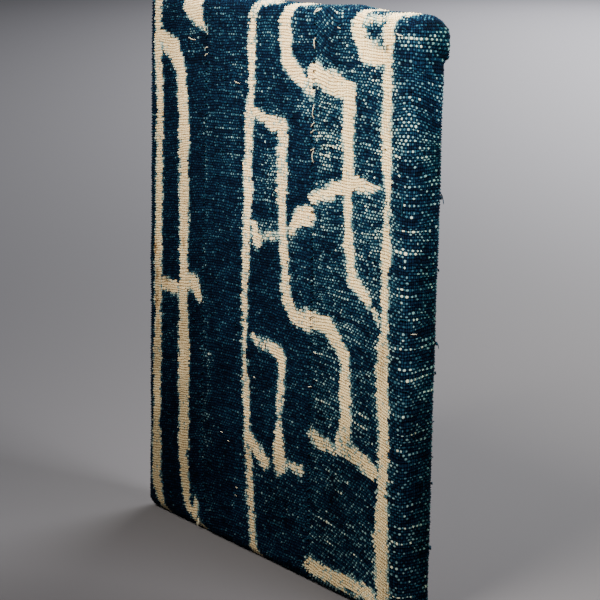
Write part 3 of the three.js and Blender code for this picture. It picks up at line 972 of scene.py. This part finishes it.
def dye_shown(tree, place, shape, values):
    """How much dye shows, from 0 to 1, and the float's height with its edge made uneven."""
    cell, weft, hump = shape
    per_cell = node(tree, "ShaderNodeTexWhiteNoise", {0: cell}, noise_dimensions="2D").outputs["Value"]
    tuft = node(tree, "ShaderNodeTexNoise", {"Vector": place, "Scale": TUFTS, "Detail": 2.0}).outputs[0]
    uneven = {0: per_cell, 1: 0.45, 2: tuft}
    uneven = node(tree, "ShaderNodeMath", uneven, operation="MULTIPLY_ADD").outputs[0]
    uneven = node(tree, "ShaderNodeMath", {0: uneven, 1: 0.73}, operation="SUBTRACT").outputs[0]
    blurred = {0: uneven, 1: 0.8, 2: hump}
    blurred = node(tree, "ShaderNodeMath", blurred, operation="MULTIPLY_ADD").outputs[0]
    crest = node(tree, "ShaderNodeMapRange", {0: blurred, 1: 0.3, 2: 0.95, 3: 0.42, 4: 1.0},
                 interpolation_type="SMOOTHSTEP").outputs[0]
    of_weft = node(tree, "ShaderNodeMapRange", {0: weft, 3: 0.5, 4: 1.0}).outputs[0]
    seen = node(tree, "ShaderNodeMath", {0: of_weft, 1: crest}, operation="MULTIPLY").outputs[0]
    rubbed = node(tree, "ShaderNodeMapRange", {0: per_cell, 3: 0.06, 4: 0.22}).outputs[0]
    paler = node(tree, "ShaderNodeMath", {0: values["pale"], 1: rubbed}, operation="ADD").outputs[0]
    shown = node(tree, "ShaderNodeMath", {0: paler, 1: seen}, operation="MULTIPLY").outputs[0]
    covered = node(tree, "ShaderNodeMath", {0: 1.0, 1: shown}, operation="SUBTRACT").outputs[0]
    covered = {0: covered, 1: LEAST_DYE}
    covered = node(tree, "ShaderNodeMath", covered, operation="MAXIMUM").outputs[0]
    dyed = {0: 1.0, 1: values["resist"]}
    dyed = node(tree, "ShaderNodeMath", dyed, operation="SUBTRACT").outputs[0]
    taken = {0: dyed, 1: covered}
    taken = node(tree, "ShaderNodeMath", taken, operation="MULTIPLY", use_clamp=True).outputs[0]
    return taken, blurred


def dye_colour(tree, taken):
    """The colour of cotton that has taken so much dye."""
    ramp = node(tree, "ShaderNodeValToRGB", {0: taken})
    ramp.color_ramp.elements.remove(ramp.color_ramp.elements[1])
    for i, (dye, colour) in enumerate(DYE_COLOURS):
        element = ramp.color_ramp.elements[0] if i == 0 else ramp.color_ramp.elements.new(dye)
        element.position = dye
        element.color = linear(colour)
    return ramp.outputs[0]


print("dye colours:", len(DYE_COLOURS))

# %% [markdown]
# ## Age, painted shade between the threads, and fibres
#
# Weathered sides fade to green. Handled cotton greys and browns, most in a few spots; the grey
# deepens towards the bottom and the left, partly as real stain and partly as painted shade. The
# hollows between the threads get painted shade: blue where the cloth is dyed and brown where it
# is not, and the cream also takes a tan painted shade low between its floats.
# Loose cotton fibres scatter light all ways, so the surface has a high roughness and next to no
# specular light. They are drawn as tufts about a third of a millimetre across, much coarser
# than single fibres, because those don't show from a metre away.

# %% The indigo cotton
FIBRES = 2600.0  # noise hills for each metre


def aged_with_painted_shade(tree, colour, hollow_shade_mask, blurred, values):
    """The dyed colour with fading, staining, brown spots and painted shade between the threads over it."""
    # Painted shade: the low parts between the threads are darkened, near-black blue on the dyed cloth and
    # brown on the cream.
    hollow_shade_colours = {0: values["resist"], 6: linear("#0a1a2a"), 7: linear("#463729")}
    painted_hollow_shade = node(tree, "ShaderNodeMix", hollow_shade_colours, data_type="RGBA").outputs[2]
    shade = node(tree, "ShaderNodeMath", {0: hollow_shade_mask, 1: 0.88}, operation="MULTIPLY").outputs[0]
    # Painted shade: on the cream, the low parts of each float are tinted tan and the crests stay clear.
    cream_hollow_shade = {0: blurred, 1: 0.25, 2: 0.95, 3: 0.75, 4: 0.0}
    cream_hollow_shade = node(tree, "ShaderNodeMapRange", cream_hollow_shade).outputs[0]
    cream_hollow_shade = {0: cream_hollow_shade, 1: values["resist"]}
    cream_hollow_shade = node(tree, "ShaderNodeMath", cream_hollow_shade, operation="MULTIPLY").outputs[0]
    tones = (
        (values["weathered"], linear("#c2dccb")),
        (cream_hollow_shade, linear("#b39470")),
        # Stain, partly painted shade towards the bottom and the left: a grey tint.
        (values["stain_and_shade"], linear("#9ca1a5")),
        (values["brown"], linear("#735a42")),
        (shade, painted_hollow_shade),
    )
    for amount, tint in tones:
        colour = node(tree, "ShaderNodeMix", {0: amount, 6: colour, 7: tint}, data_type="RGBA",
                      blend_type="MULTIPLY").outputs[2]
    return colour


def cotton_material():
    """Hand-spun indigo cotton, with its threads, dye, age and fibres."""
    material = new_material("indigo_dyed_handspun_cotton")
    tree = material.node_tree
    values = {
        title: node(tree, "ShaderNodeAttribute", attribute_name=title).outputs["Fac"]
        for title in DYE_TITLES
    }
    place = node(tree, "ShaderNodeTexCoord").outputs["Object"]
    shape = thread_shape(tree)
    hump = shape[2]
    # Painted shade mask: 1 in the low parts between the floats, where shade falls, and 0 on the crests.
    hollow_shade_mask = node(tree, "ShaderNodeMapRange", {0: hump, 1: 0.1, 2: 0.68, 3: 1.0, 4: 0.0},
                  interpolation_type="SMOOTHSTEP").outputs[0]
    taken, blurred = dye_shown(tree, place, shape, values)
    colour = aged_with_painted_shade(tree, dye_colour(tree, taken), hollow_shade_mask, blurred, values)
    fibre = node(tree, "ShaderNodeTexNoise", {"Vector": place, "Scale": FIBRES, "Detail": 3.0}).outputs[0]
    surface = {0: fibre, 1: 0.35, 2: hump}
    surface = node(tree, "ShaderNodeMath", surface, operation="MULTIPLY_ADD").outputs[0]
    bump = {"Strength": 0.6, "Distance": 0.25 * MM, "Height": surface}
    bump = node(tree, "ShaderNodeBump", bump).outputs[0]
    shader = node(tree, "ShaderNodeBsdfPrincipled", {
        "Base Color": colour, "Roughness": 0.92, "IOR": 1.5, "Specular IOR Level": 0.02,
        "Normal": bump,
    })
    node(tree, "ShaderNodeOutputMaterial", {0: shader.outputs[0]})
    return material


cotton = cotton_material()
for piece in strips.values():
    piece.data.materials.append(cotton)
print("cotton nodes:", len(cotton.node_tree.nodes))

# %% [markdown]
# ## Threads: a line of points with a round bevel
#
# The seams, the loose ends and the frayed edge are all yarn. A curve object suits them: each
# thread is one spline, the bevel gives it a round section, and each point's radius lets it
# swell and taper like hand-spun yarn. Every place is given on the cloth, as lengths across and
# up and a height above its surface, so a thread follows the edges as the cloth does.

# %% Make threads
YARN = 1.0  # mm across, where a thread's thickness is given as 1
print("yarn of thickness 1, mm:", YARN)


def make_threads(name, threads):
    """One piece of many threads. A thread is a list of (across, up, lift, thickness) points."""
    bpy.ops.object.select_all(action="DESELECT")
    curve = bpy.data.curves.new(name, "CURVE")
    curve.dimensions = "3D"
    curve.bevel_depth = YARN / 2 * MM
    curve.bevel_resolution = 1
    curve.use_fill_caps = True
    for thread in threads:
        across, up, lift, thickness = np.array(thread, float).T
        spline = curve.splines.new("POLY")
        spline.points.add(len(thread) - 1)
        for point, place, thick in zip(spline.points, cloth_point(across, up, lift, True), thickness):
            point.co = (*place, 1)
            point.radius = thick
    piece = bpy.data.objects.new(name, curve)
    bpy.context.scene.collection.objects.link(piece)
    piece.select_set(True)
    bpy.context.view_layer.objects.active = piece
    bpy.ops.object.convert(target="MESH")
    bpy.ops.object.shade_smooth()
    piece = bpy.context.active_object
    piece.data.name = name
    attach(piece, "root")
    print(name, "threads:", len(threads), "faces:", len(piece.data.polygons))
    return piece


def from_floor(height):
    """The length up from the middle for a height above the floor on the front."""
    return height - HALF_HEIGHT


# %% [markdown]
# ## Sewing the strips together
#
# Narrow strips are joined edge to edge with an over-and-over stitch, by hand, with the same
# indigo yarn, and the odd stitch stayed pale. Each stitch comes out beside the seam, leans
# over it and goes in again, so its two ends dive under the surface.

# %% Stitches along both seams
STITCH_STEP = 4.6
STITCH_THICKNESS = 0.42
PALE_STITCHES = {0: ((271, 279),), 1: ((240, 250), (228, 233), (106, 111))}  # from and to, height
SEAM_TOP = HALF_FRONT_UP + RETURN_LENGTH
sewing_chance = np.random.default_rng(21)
dark_stitches, pale_stitches = [], []
for seam in (0, 1):
    for up in np.arange(-SEAM_TOP + 4, SEAM_TOP - 3, STITCH_STEP):
        up = up + 0.5 * sewing_chance.standard_normal()
        lean = 0.7 + 0.3 * sewing_chance.standard_normal()
        reach = 1.3 + 0.25 * sewing_chance.standard_normal()
        middle = float(seam_at(seam, np.clip(up, -HALF_HEIGHT, HALF_HEIGHT)))
        stitch = [
            (middle + side * reach, up + side * lean, lift, STITCH_THICKNESS + 0.2 * (1 - abs(side)))
            for side, lift in ((-1, -0.7), (-0.62, 0.3), (-0.1, 0.1), (0.5, 0.35), (1, -0.7))
        ]
        height = up + HALF_HEIGHT
        is_pale = any(low < height < high for low, high in PALE_STITCHES[seam])
        (pale_stitches if is_pale else dark_stitches).append(stitch)
stitches = [
    make_threads("seam_stitches", dark_stitches),
    make_threads("seam_stitches_pale", pale_stitches),
]

# %% [markdown]
# ## Slubs, knots and loose ends
#
# Hand-spun yarn has thick soft places, weavers leave knots where a thread broke, and with wear
# some ends work loose. The larger ones are placed one by one. The small ones that roughen the
# outline are scattered over the cloth with seeded chance.

# %% Loose threads
SLUBS = [  # from across, height, to across, height, thickness
    (-77, 281, -69, 280, 0.5), (-30, 261, -24, 260, 0.5), (111, 296, 116, 295, 0.55),
    (57, 236, 62, 236, 0.5), (88, 222, 93, 221, 0.5), (102, 240, 107, 240, 0.5),
]
KNOTS = [  # across, height, size
    (-10, 299, 0.9), (-63, 5, 0.8), (-119, 258, 0.7), (86, 293, 0.6),
]
DARK_KNOTS = [
    (141, 285, 1.1), (141, 216, 1.0), (141, 180, 0.8), (141, 143, 1.1), (141, 128, 0.9),
    (141, 71, 0.8), (141, 37, 1.2), (-141, 220, 1.0), (-141, 120, 0.9),
]
LOOSE_ENDS = [  # points across, height, lift and thickness
    [(43, 289, -0.4, 0.6), (43, 288, 0.7, 0.65), (43.5, 286, 0.9, 0.6), (43.5, 284, 0.5, 0.4)],
    [(43.5, 304, 0, 0.6), (42.5, 303, 1.2, 0.6), (43, 301, 1.6, 0.6), (45, 302, 1.4, 0.6),
     (44.5, 304, 0.2, 0.6)],
    [(42.5, 255, -0.3, 0.5), (43, 252.5, 0.6, 0.55), (42.5, 250, 0.5, 0.5), (43, 248, -0.3, 0.4)],
    [(43.5, 232, -0.3, 0.5), (43, 229.5, 0.6, 0.6), (43.5, 227, 0.6, 0.5), (43.5, 225, -0.3, 0.4)],
    [(-63, 7, 0, 0.6), (-62, 5, 1.3, 0.6), (-63.5, 3, 1.5, 0.6), (-64.5, 4.5, 1.0, 0.6)],
]
DARK_LOOSE_ENDS = [
    [(118, 218, 0, 0.6), (118.5, 215, 0.7, 0.6), (118, 211, 0.8, 0.6), (118.5, 208, 0.2, 0.5)],
    [(141.5, 218.5, 0.2, 0.6), (142.5, 216.5, 1.5, 0.55), (141.5, 214.5, 1.8, 0.5), (141, 213, 2.0, 0.3)],
    [(140.5, 144, 0.2, 0.6), (142, 142.5, 1.4, 0.55), (141, 140.5, 1.9, 0.35)],
]
KNOT_TURNS = 1.7
NUB_STROKE_GAP = 3  # mm that scattered nubs keep away from a cream line
loose_chance = np.random.default_rng(22)


def slub(across_from, height_from, across_to, height_to, thickness):
    """A soft thick length of yarn, thin at both ends."""
    points = []
    for share in np.linspace(0, 1, 7):
        bulge = math.sin(math.pi * share)
        across = mix(across_from, across_to, share)
        up = from_floor(mix(height_from, height_to, share)) + 0.12 * math.sin(9 * share)
        points.append((across, up, 0.15 + 0.35 * bulge, thickness * (0.35 + 0.9 * bulge)))
    return points


def knot(across, height, size):
    """A small coil of yarn that rises as it turns."""
    points = []
    for angle in np.linspace(0, KNOT_TURNS * 2 * math.pi, 12):
        right_by = 0.5 * size * math.cos(angle)
        up_by = 0.6 * size * math.sin(angle)
        lift = 0.2 + 0.12 * size * angle / 2
        points.append((across + right_by, from_floor(height) + up_by, lift, 0.75 * size))
    return points


def on_cloth(thread):
    """A thread's points with heights above the floor turned to lengths up the cloth."""
    return [(across, from_floor(height), lift, thick) for across, height, lift, thick in thread]


def scattered_nubs(count, thickness):
    """Short thick places of yarn along the weft, all over the front and the sides."""
    draws = loose_chance.random((count, 4))
    draws[:, 0] = (draws[:, 0] - 0.5) * 2 * (HALF_FRONT_ACROSS + 24)
    draws[:, 1] = (draws[:, 1] - 0.5) * 2 * (HALF_FRONT_UP - 4)
    heights = draws[:, 1] + HALF_HEIGHT
    gaps = [stroke_gap(draws[:, 0], heights, stroke["line"]) for stroke in STROKES]
    nubs = []
    for across, up, length, lift in draws[np.minimum.reduce(gaps) > NUB_STROKE_GAP]:
        length = 1.6 + 2.4 * length
        nub = []
        for share in (0, 0.25, 0.5, 0.75, 1):
            bulge = math.sin(math.pi * share)
            along = across + (share - 0.5) * length
            raised = (0.1 + 0.55 * lift) * bulge + 0.1
            nub.append((along, up + 0.2 * math.sin(5 * share), raised, thickness * (0.4 + 0.6 * bulge)))
        nubs.append(nub)
    return nubs


loose = [
    make_threads("loose_threads_pale", [slub(*s) for s in SLUBS] + [knot(*k) for k in KNOTS]
                 + [on_cloth(end) for end in LOOSE_ENDS] + scattered_nubs(14, 0.4)),
    make_threads("loose_threads_indigo", [knot(*k) for k in DARK_KNOTS]
                 + [on_cloth(end) for end in DARK_LOOSE_ENDS] + scattered_nubs(300, 0.6)),
]

# %% [markdown]
# ## The frayed edge on the back
#
# The turned-in margin was cut and not hemmed, so at its edge every thread ends in a short,
# slightly crooked tail that lies on the wood. One tail has only twenty faces, because there
# are about seven hundred.

# %% Frayed ends along the raw edge
FRAY_STEP = 1.5
fray_chance = np.random.default_rng(23)


def raw_edge(along_top, sign, place):
    """How far out the cloth's own raw edge lies, at a place along it."""
    side = 0 if sign < 0 else -1
    if along_top:
        strip = next(name for name, ends in STRIP_EDGES.items() if place <= ends[1])
        across, up = laid_out[strip]
        return float(np.interp(place, across[:, side], up[:, side]))
    across, up = laid_out["left" if sign < 0 else "right"]
    return float(np.interp(place, up[side], across[side]))


tails = []
for along_top in (True, False):
    half = HALF_FRONT_ACROSS if along_top else HALF_FRONT_UP
    for sign in (-1, 1):
        for place in np.arange(-half + 1, half - 1, FRAY_STEP):
            length = 1.2 + 2.6 * fray_chance.random() ** 2
            bend = 0.7 * fray_chance.standard_normal()
            edge = raw_edge(along_top, sign, place)
            tail = []
            for share in (-0.3, 0.35, 1):
                side = place + bend * max(share, 0) ** 2
                out = edge + sign * length * share
                lift = -0.9 - 0.6 * max(share, 0)
                across, up = (side, out) if along_top else (out, side)
                tail.append((across, up, lift, 0.45 - 0.2 * share))
            tails.append(tail)
fringe = make_threads("frayed_ends", tails)

# %% [markdown]
# ## Cotton yarn
#
# Sewing yarn and loose ends are the same cotton, twisted by hand. Patches of light and dark
# about a millimetre long stand for the twist and for dye that took unevenly. Noise is used and
# no bands, because a thread this thin is only a few dots wide in the picture.


# %% Yarn materials
def yarn_material(name, light, dark):
    """Hand-twisted cotton yarn, mottled from dark to light."""
    material = new_material(name)
    tree = material.node_tree
    place = node(tree, "ShaderNodeTexCoord").outputs["Object"]
    twist = {"Vector": place, "Scale": 1100.0, "Detail": 2.0}
    twist = node(tree, "ShaderNodeTexNoise", twist).outputs[0]
    ramp = node(tree, "ShaderNodeValToRGB", {0: twist})
    for element, position, colour in zip(ramp.color_ramp.elements, (0.35, 0.65), (dark, light)):
        element.position = position
        element.color = linear(colour)
    bump = {"Strength": 0.6, "Distance": 0.15 * MM, "Height": twist}
    bump = node(tree, "ShaderNodeBump", bump).outputs[0]
    shader = node(tree, "ShaderNodeBsdfPrincipled", {
        "Base Color": ramp.outputs[0], "Roughness": 0.92, "IOR": 1.5, "Specular IOR Level": 0.05,
        "Normal": bump,
    })
    node(tree, "ShaderNodeOutputMaterial", {0: shader.outputs[0]})
    return material


indigo_yarn = yarn_material("indigo_dyed_cotton_yarn", "#123346", "#030d18")
pale_yarn = yarn_material("undyed_cotton_yarn", "#c6c3b0", "#7c7968")
for piece in (*stitches, *loose, fringe):
    piece.data.materials.append(pale_yarn if piece.name.endswith("pale") else indigo_yarn)
    print(piece.name, "is", piece.data.materials[0].name)

# %% [markdown]
# ## The cloth as flat sheets
#
# Each strip is a sheet that was cut flat and then stretched. Its flat size is its width between
# the seams, with the side return where it has one, and its length from raw edge to raw edge.
# The loop below only reads each strip's edges between the seams.

# %% Each strip's edges
for strip, piece in strips.items():
    left, right = STRIP_EDGES[strip]

# %% [markdown]
# ## Pine for the stretcher
#
# Stretcher bars are sawn and planed from pine. Its growth rings show as long bands, a few
# millimetres apart: pale, soft early wood and darker, harder late wood. Over them lie fine
# fibres and short brown resin lines. The bands run along each bar, so there are two versions
# of the material, one for the upright bars and one for the level ones.

# %% The pine
RINGS = 310.0  # growth rings to the metre, one each three millimetres or so
STRETCH = 0.05  # the grain is twenty times as long as it is wide
PINE_COLOURS = ((0.0, "#e2c596"), (0.7, "#d3ab74"), (1.0, "#a9763f"))  # from ring to ring


def pine_material(name, along):
    """Planed pine, with its grain along one axis."""
    material = new_material(name)
    tree = material.node_tree
    place = node(tree, "ShaderNodeTexCoord").outputs["Object"]
    scale = [STRETCH if axis == along else 1.0 for axis in range(3)]
    grain = node(tree, "ShaderNodeMapping", {"Vector": place, "Scale": scale}).outputs[0]
    waver = {"Vector": grain, "Scale": 60.0, "Detail": 2.0}
    waver = node(tree, "ShaderNodeTexNoise", waver).outputs[0]
    depth = node(tree, "ShaderNodeSeparateXYZ", {0: grain}).outputs
    radial = node(tree, "ShaderNodeMath", {0: depth[0], 1: depth[1]}, operation="ADD").outputs[0]
    radial = node(tree, "ShaderNodeMath", {0: radial, 1: depth[2]}, operation="ADD").outputs[0]
    rings = {0: waver, 1: 0.02, 2: radial}
    rings = node(tree, "ShaderNodeMath", rings, operation="MULTIPLY_ADD").outputs[0]
    rings = node(tree, "ShaderNodeMath", {0: rings, 1: RINGS}, operation="MULTIPLY").outputs[0]
    rings = node(tree, "ShaderNodeMath", {0: rings}, operation="FRACT").outputs[0]
    wood = node(tree, "ShaderNodeValToRGB", {0: rings})
    wood.color_ramp.elements.new(0.75)
    for element, (position, colour) in zip(wood.color_ramp.elements, PINE_COLOURS):
        element.position = position
        element.color = linear(colour)
    fibres = {"Vector": grain, "Scale": 1600.0, "Detail": 4.0}
    fibres = node(tree, "ShaderNodeTexNoise", fibres).outputs[0]
    resin = {"Vector": grain, "Scale": 420.0, "Detail": 1.0}
    resin = node(tree, "ShaderNodeTexNoise", resin).outputs[0]
    resin = {0: resin, 1: 0.68, 2: 0.76, 3: 0.0, 4: 0.6}
    resin = node(tree, "ShaderNodeMapRange", resin).outputs[0]
    shade = {0: fibres, 1: 0.35, 2: 0.7, 3: 0.35, 4: 0.0}
    shade = node(tree, "ShaderNodeMapRange", shade).outputs[0]
    colour = wood.outputs[0]
    for amount, tint in ((shade, "#a98258"), (resin, "#7a4a22")):
        colour = node(tree, "ShaderNodeMix", {0: amount, 6: colour, 7: linear(tint)}, data_type="RGBA",
                      blend_type="MULTIPLY").outputs[2]
    bump = {"Strength": 0.5, "Distance": 0.08 * MM, "Height": fibres}
    bump = node(tree, "ShaderNodeBump", bump).outputs[0]
    shader = node(tree, "ShaderNodeBsdfPrincipled", {
        "Base Color": colour, "Roughness": 0.62, "IOR": 1.5, "Specular IOR Level": 0.4,
        "Normal": bump,
    })
    node(tree, "ShaderNodeOutputMaterial", {0: shader.outputs[0]})
    return material


pine_across = pine_material("planed_pine_level", 0)
pine_up = pine_material("planed_pine_upright", 2)
for bar in BARS:
    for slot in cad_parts[bar].material_slots:
        slot.material = pine_across if bar in ("bar_bottom", "bar_top") else pine_up
print("bars finished:", len(BARS))

# %% [markdown]
# ## The camera
#
# The camera stands a little more than a metre away, to the right of the panel and above it, so
# that the front is seen at a slant and the side return faces it. A long lens keeps the upright
# edges nearly parallel. The numbers come from the panel's own outline in the picture, which
# fixes the turn, the tilt and the length of the lens. The camera is set by a matrix, because
# that takes a small roll as easily as the turn and the tilt.

# %% Camera
FOCAL = 123.2  # mm, on the 36 mm sensor
YAW = math.radians(54.89)
PITCH = math.radians(11.45)
ROLL = math.radians(1.02)
DISTANCE = 1101.0
SHIFT_RIGHT = 19.9  # mm that the camera stands to the right of the line to its aim
SHIFT_UP = -5.7
LOOK_AT = Vector((0, -12.3, 152.3))

back = Vector((math.sin(YAW) * math.cos(PITCH), -math.cos(YAW) * math.cos(PITCH), math.sin(PITCH)))
right = (-back).cross(Vector((0, 0, 1))).normalized()
up = right.cross(-back)
camera_data = bpy.data.cameras.new("camera")
camera_data.lens = FOCAL
camera_data.clip_start = 0.05
camera_data.clip_end = 30
camera = bpy.data.objects.new("camera", camera_data)
bpy.context.scene.collection.objects.link(camera)
bpy.context.scene.camera = camera
turned_right = right * math.cos(ROLL) + up * math.sin(ROLL)
turned_up = up * math.cos(ROLL) - right * math.sin(ROLL)
place = LOOK_AT + back * DISTANCE + right * SHIFT_RIGHT + up * SHIFT_UP
camera.matrix_world = Matrix.Translation(place * MM) @ Matrix(
    (turned_right, turned_up, back)).transposed().to_4x4()
print("camera at, m:", [round(value, 3) for value in camera.matrix_world.translation])

# %% [markdown]
# ## The floor
#
# The panel stands on a wide sheet of plain matt paper. One large plane does for the floor and
# for what lies behind, because it runs on further than the camera sees.

# %% Floor and backdrop
FLOOR = 12.0  # metres from the middle to each side, so that no edge of it shows


def stage_material():
    """Plain matt paper."""
    material = new_material("matt_grey_paper")
    tree = material.node_tree
    shader = node(tree, "ShaderNodeBsdfPrincipled", {"Base Color": linear("#494a51"), "Roughness": 0.9})
    node(tree, "ShaderNodeOutputMaterial", {0: shader.outputs[0]})
    return material


bpy.ops.object.select_all(action="DESELECT")
bpy.ops.mesh.primitive_plane_add(size=2 * FLOOR, location=(0, 0, 0))
floor = bpy.context.active_object
floor.name = "floor"
floor.data.materials.append(stage_material())
print("floor, m:", [round(size, 1) for size in floor.dimensions])

# %% [markdown]
# ## The lights
#
# Two soft boxes light the cloth from the front and from the right. Both point above the top
# right corner and have a honeycomb grid, which keeps light in a cone, so the cloth is bright at
# the top and falls off to near black at the foot. A third, long one stands far behind the
# panel and lights only the floor there. A little light from all round stands for the room.

# %% Lights
GRID = math.radians(66)  # a honeycomb grid on a soft box keeps its light in a cone
LIGHT_AIM = Vector((100, 0, 440)) * MM  # above the top right corner, so light falls off downwards
AIR_STRENGTH = 0.12


def soft_light(name, azimuth, elevation, distance, size, power, colour, spread):
    """An area light. Angles are in degrees, and distance and size in metres."""
    data = bpy.data.lights.new(name, "AREA")
    data.shape = "RECTANGLE"
    data.size, data.size_y = size
    data.energy = power
    data.color = linear(colour)[:3]
    data.spread = spread
    lamp = bpy.data.objects.new(name, data)
    bpy.context.scene.collection.objects.link(lamp)
    a, e = math.radians(azimuth), math.radians(elevation)
    away = Vector((math.sin(a) * math.cos(e), -math.cos(a) * math.cos(e), math.sin(e)))
    centre = Vector((0, 0, HALF_HEIGHT * MM))
    lamp.location = centre + away * distance
    lamp.rotation_mode = "QUATERNION"
    lamp.visible_camera = False
    lamp.rotation_quaternion = (lamp.location - LIGHT_AIM).to_track_quat("Z", "Y")
    return lamp


soft_light("light_front", azimuth=18, elevation=48, distance=0.84, size=(0.36, 0.36),
           power=6.5, colour="#fff3e0", spread=GRID)
soft_light("light_side", azimuth=102, elevation=40, distance=0.88, size=(0.36, 0.36),
           power=4.0, colour="#fdf6ee", spread=GRID)
far_floor = soft_light("light_far_floor", azimuth=216.5, elevation=15.5, distance=3.73,
                       size=(0.8, 5.0), power=425, colour="#fbf8f4", spread=math.pi)
# This one points straight down at the floor, turned so that it lies across the view.
far_floor.rotation_quaternion = Matrix.Rotation(YAW, 3, "Z").to_quaternion()
world = bpy.data.worlds.new("studio_air")
bpy.context.scene.world = world
world.use_nodes = True
air = world.node_tree.nodes["Background"]
air.inputs["Color"].default_value = linear("#c9ccd2")
air.inputs["Strength"].default_value = AIR_STRENGTH
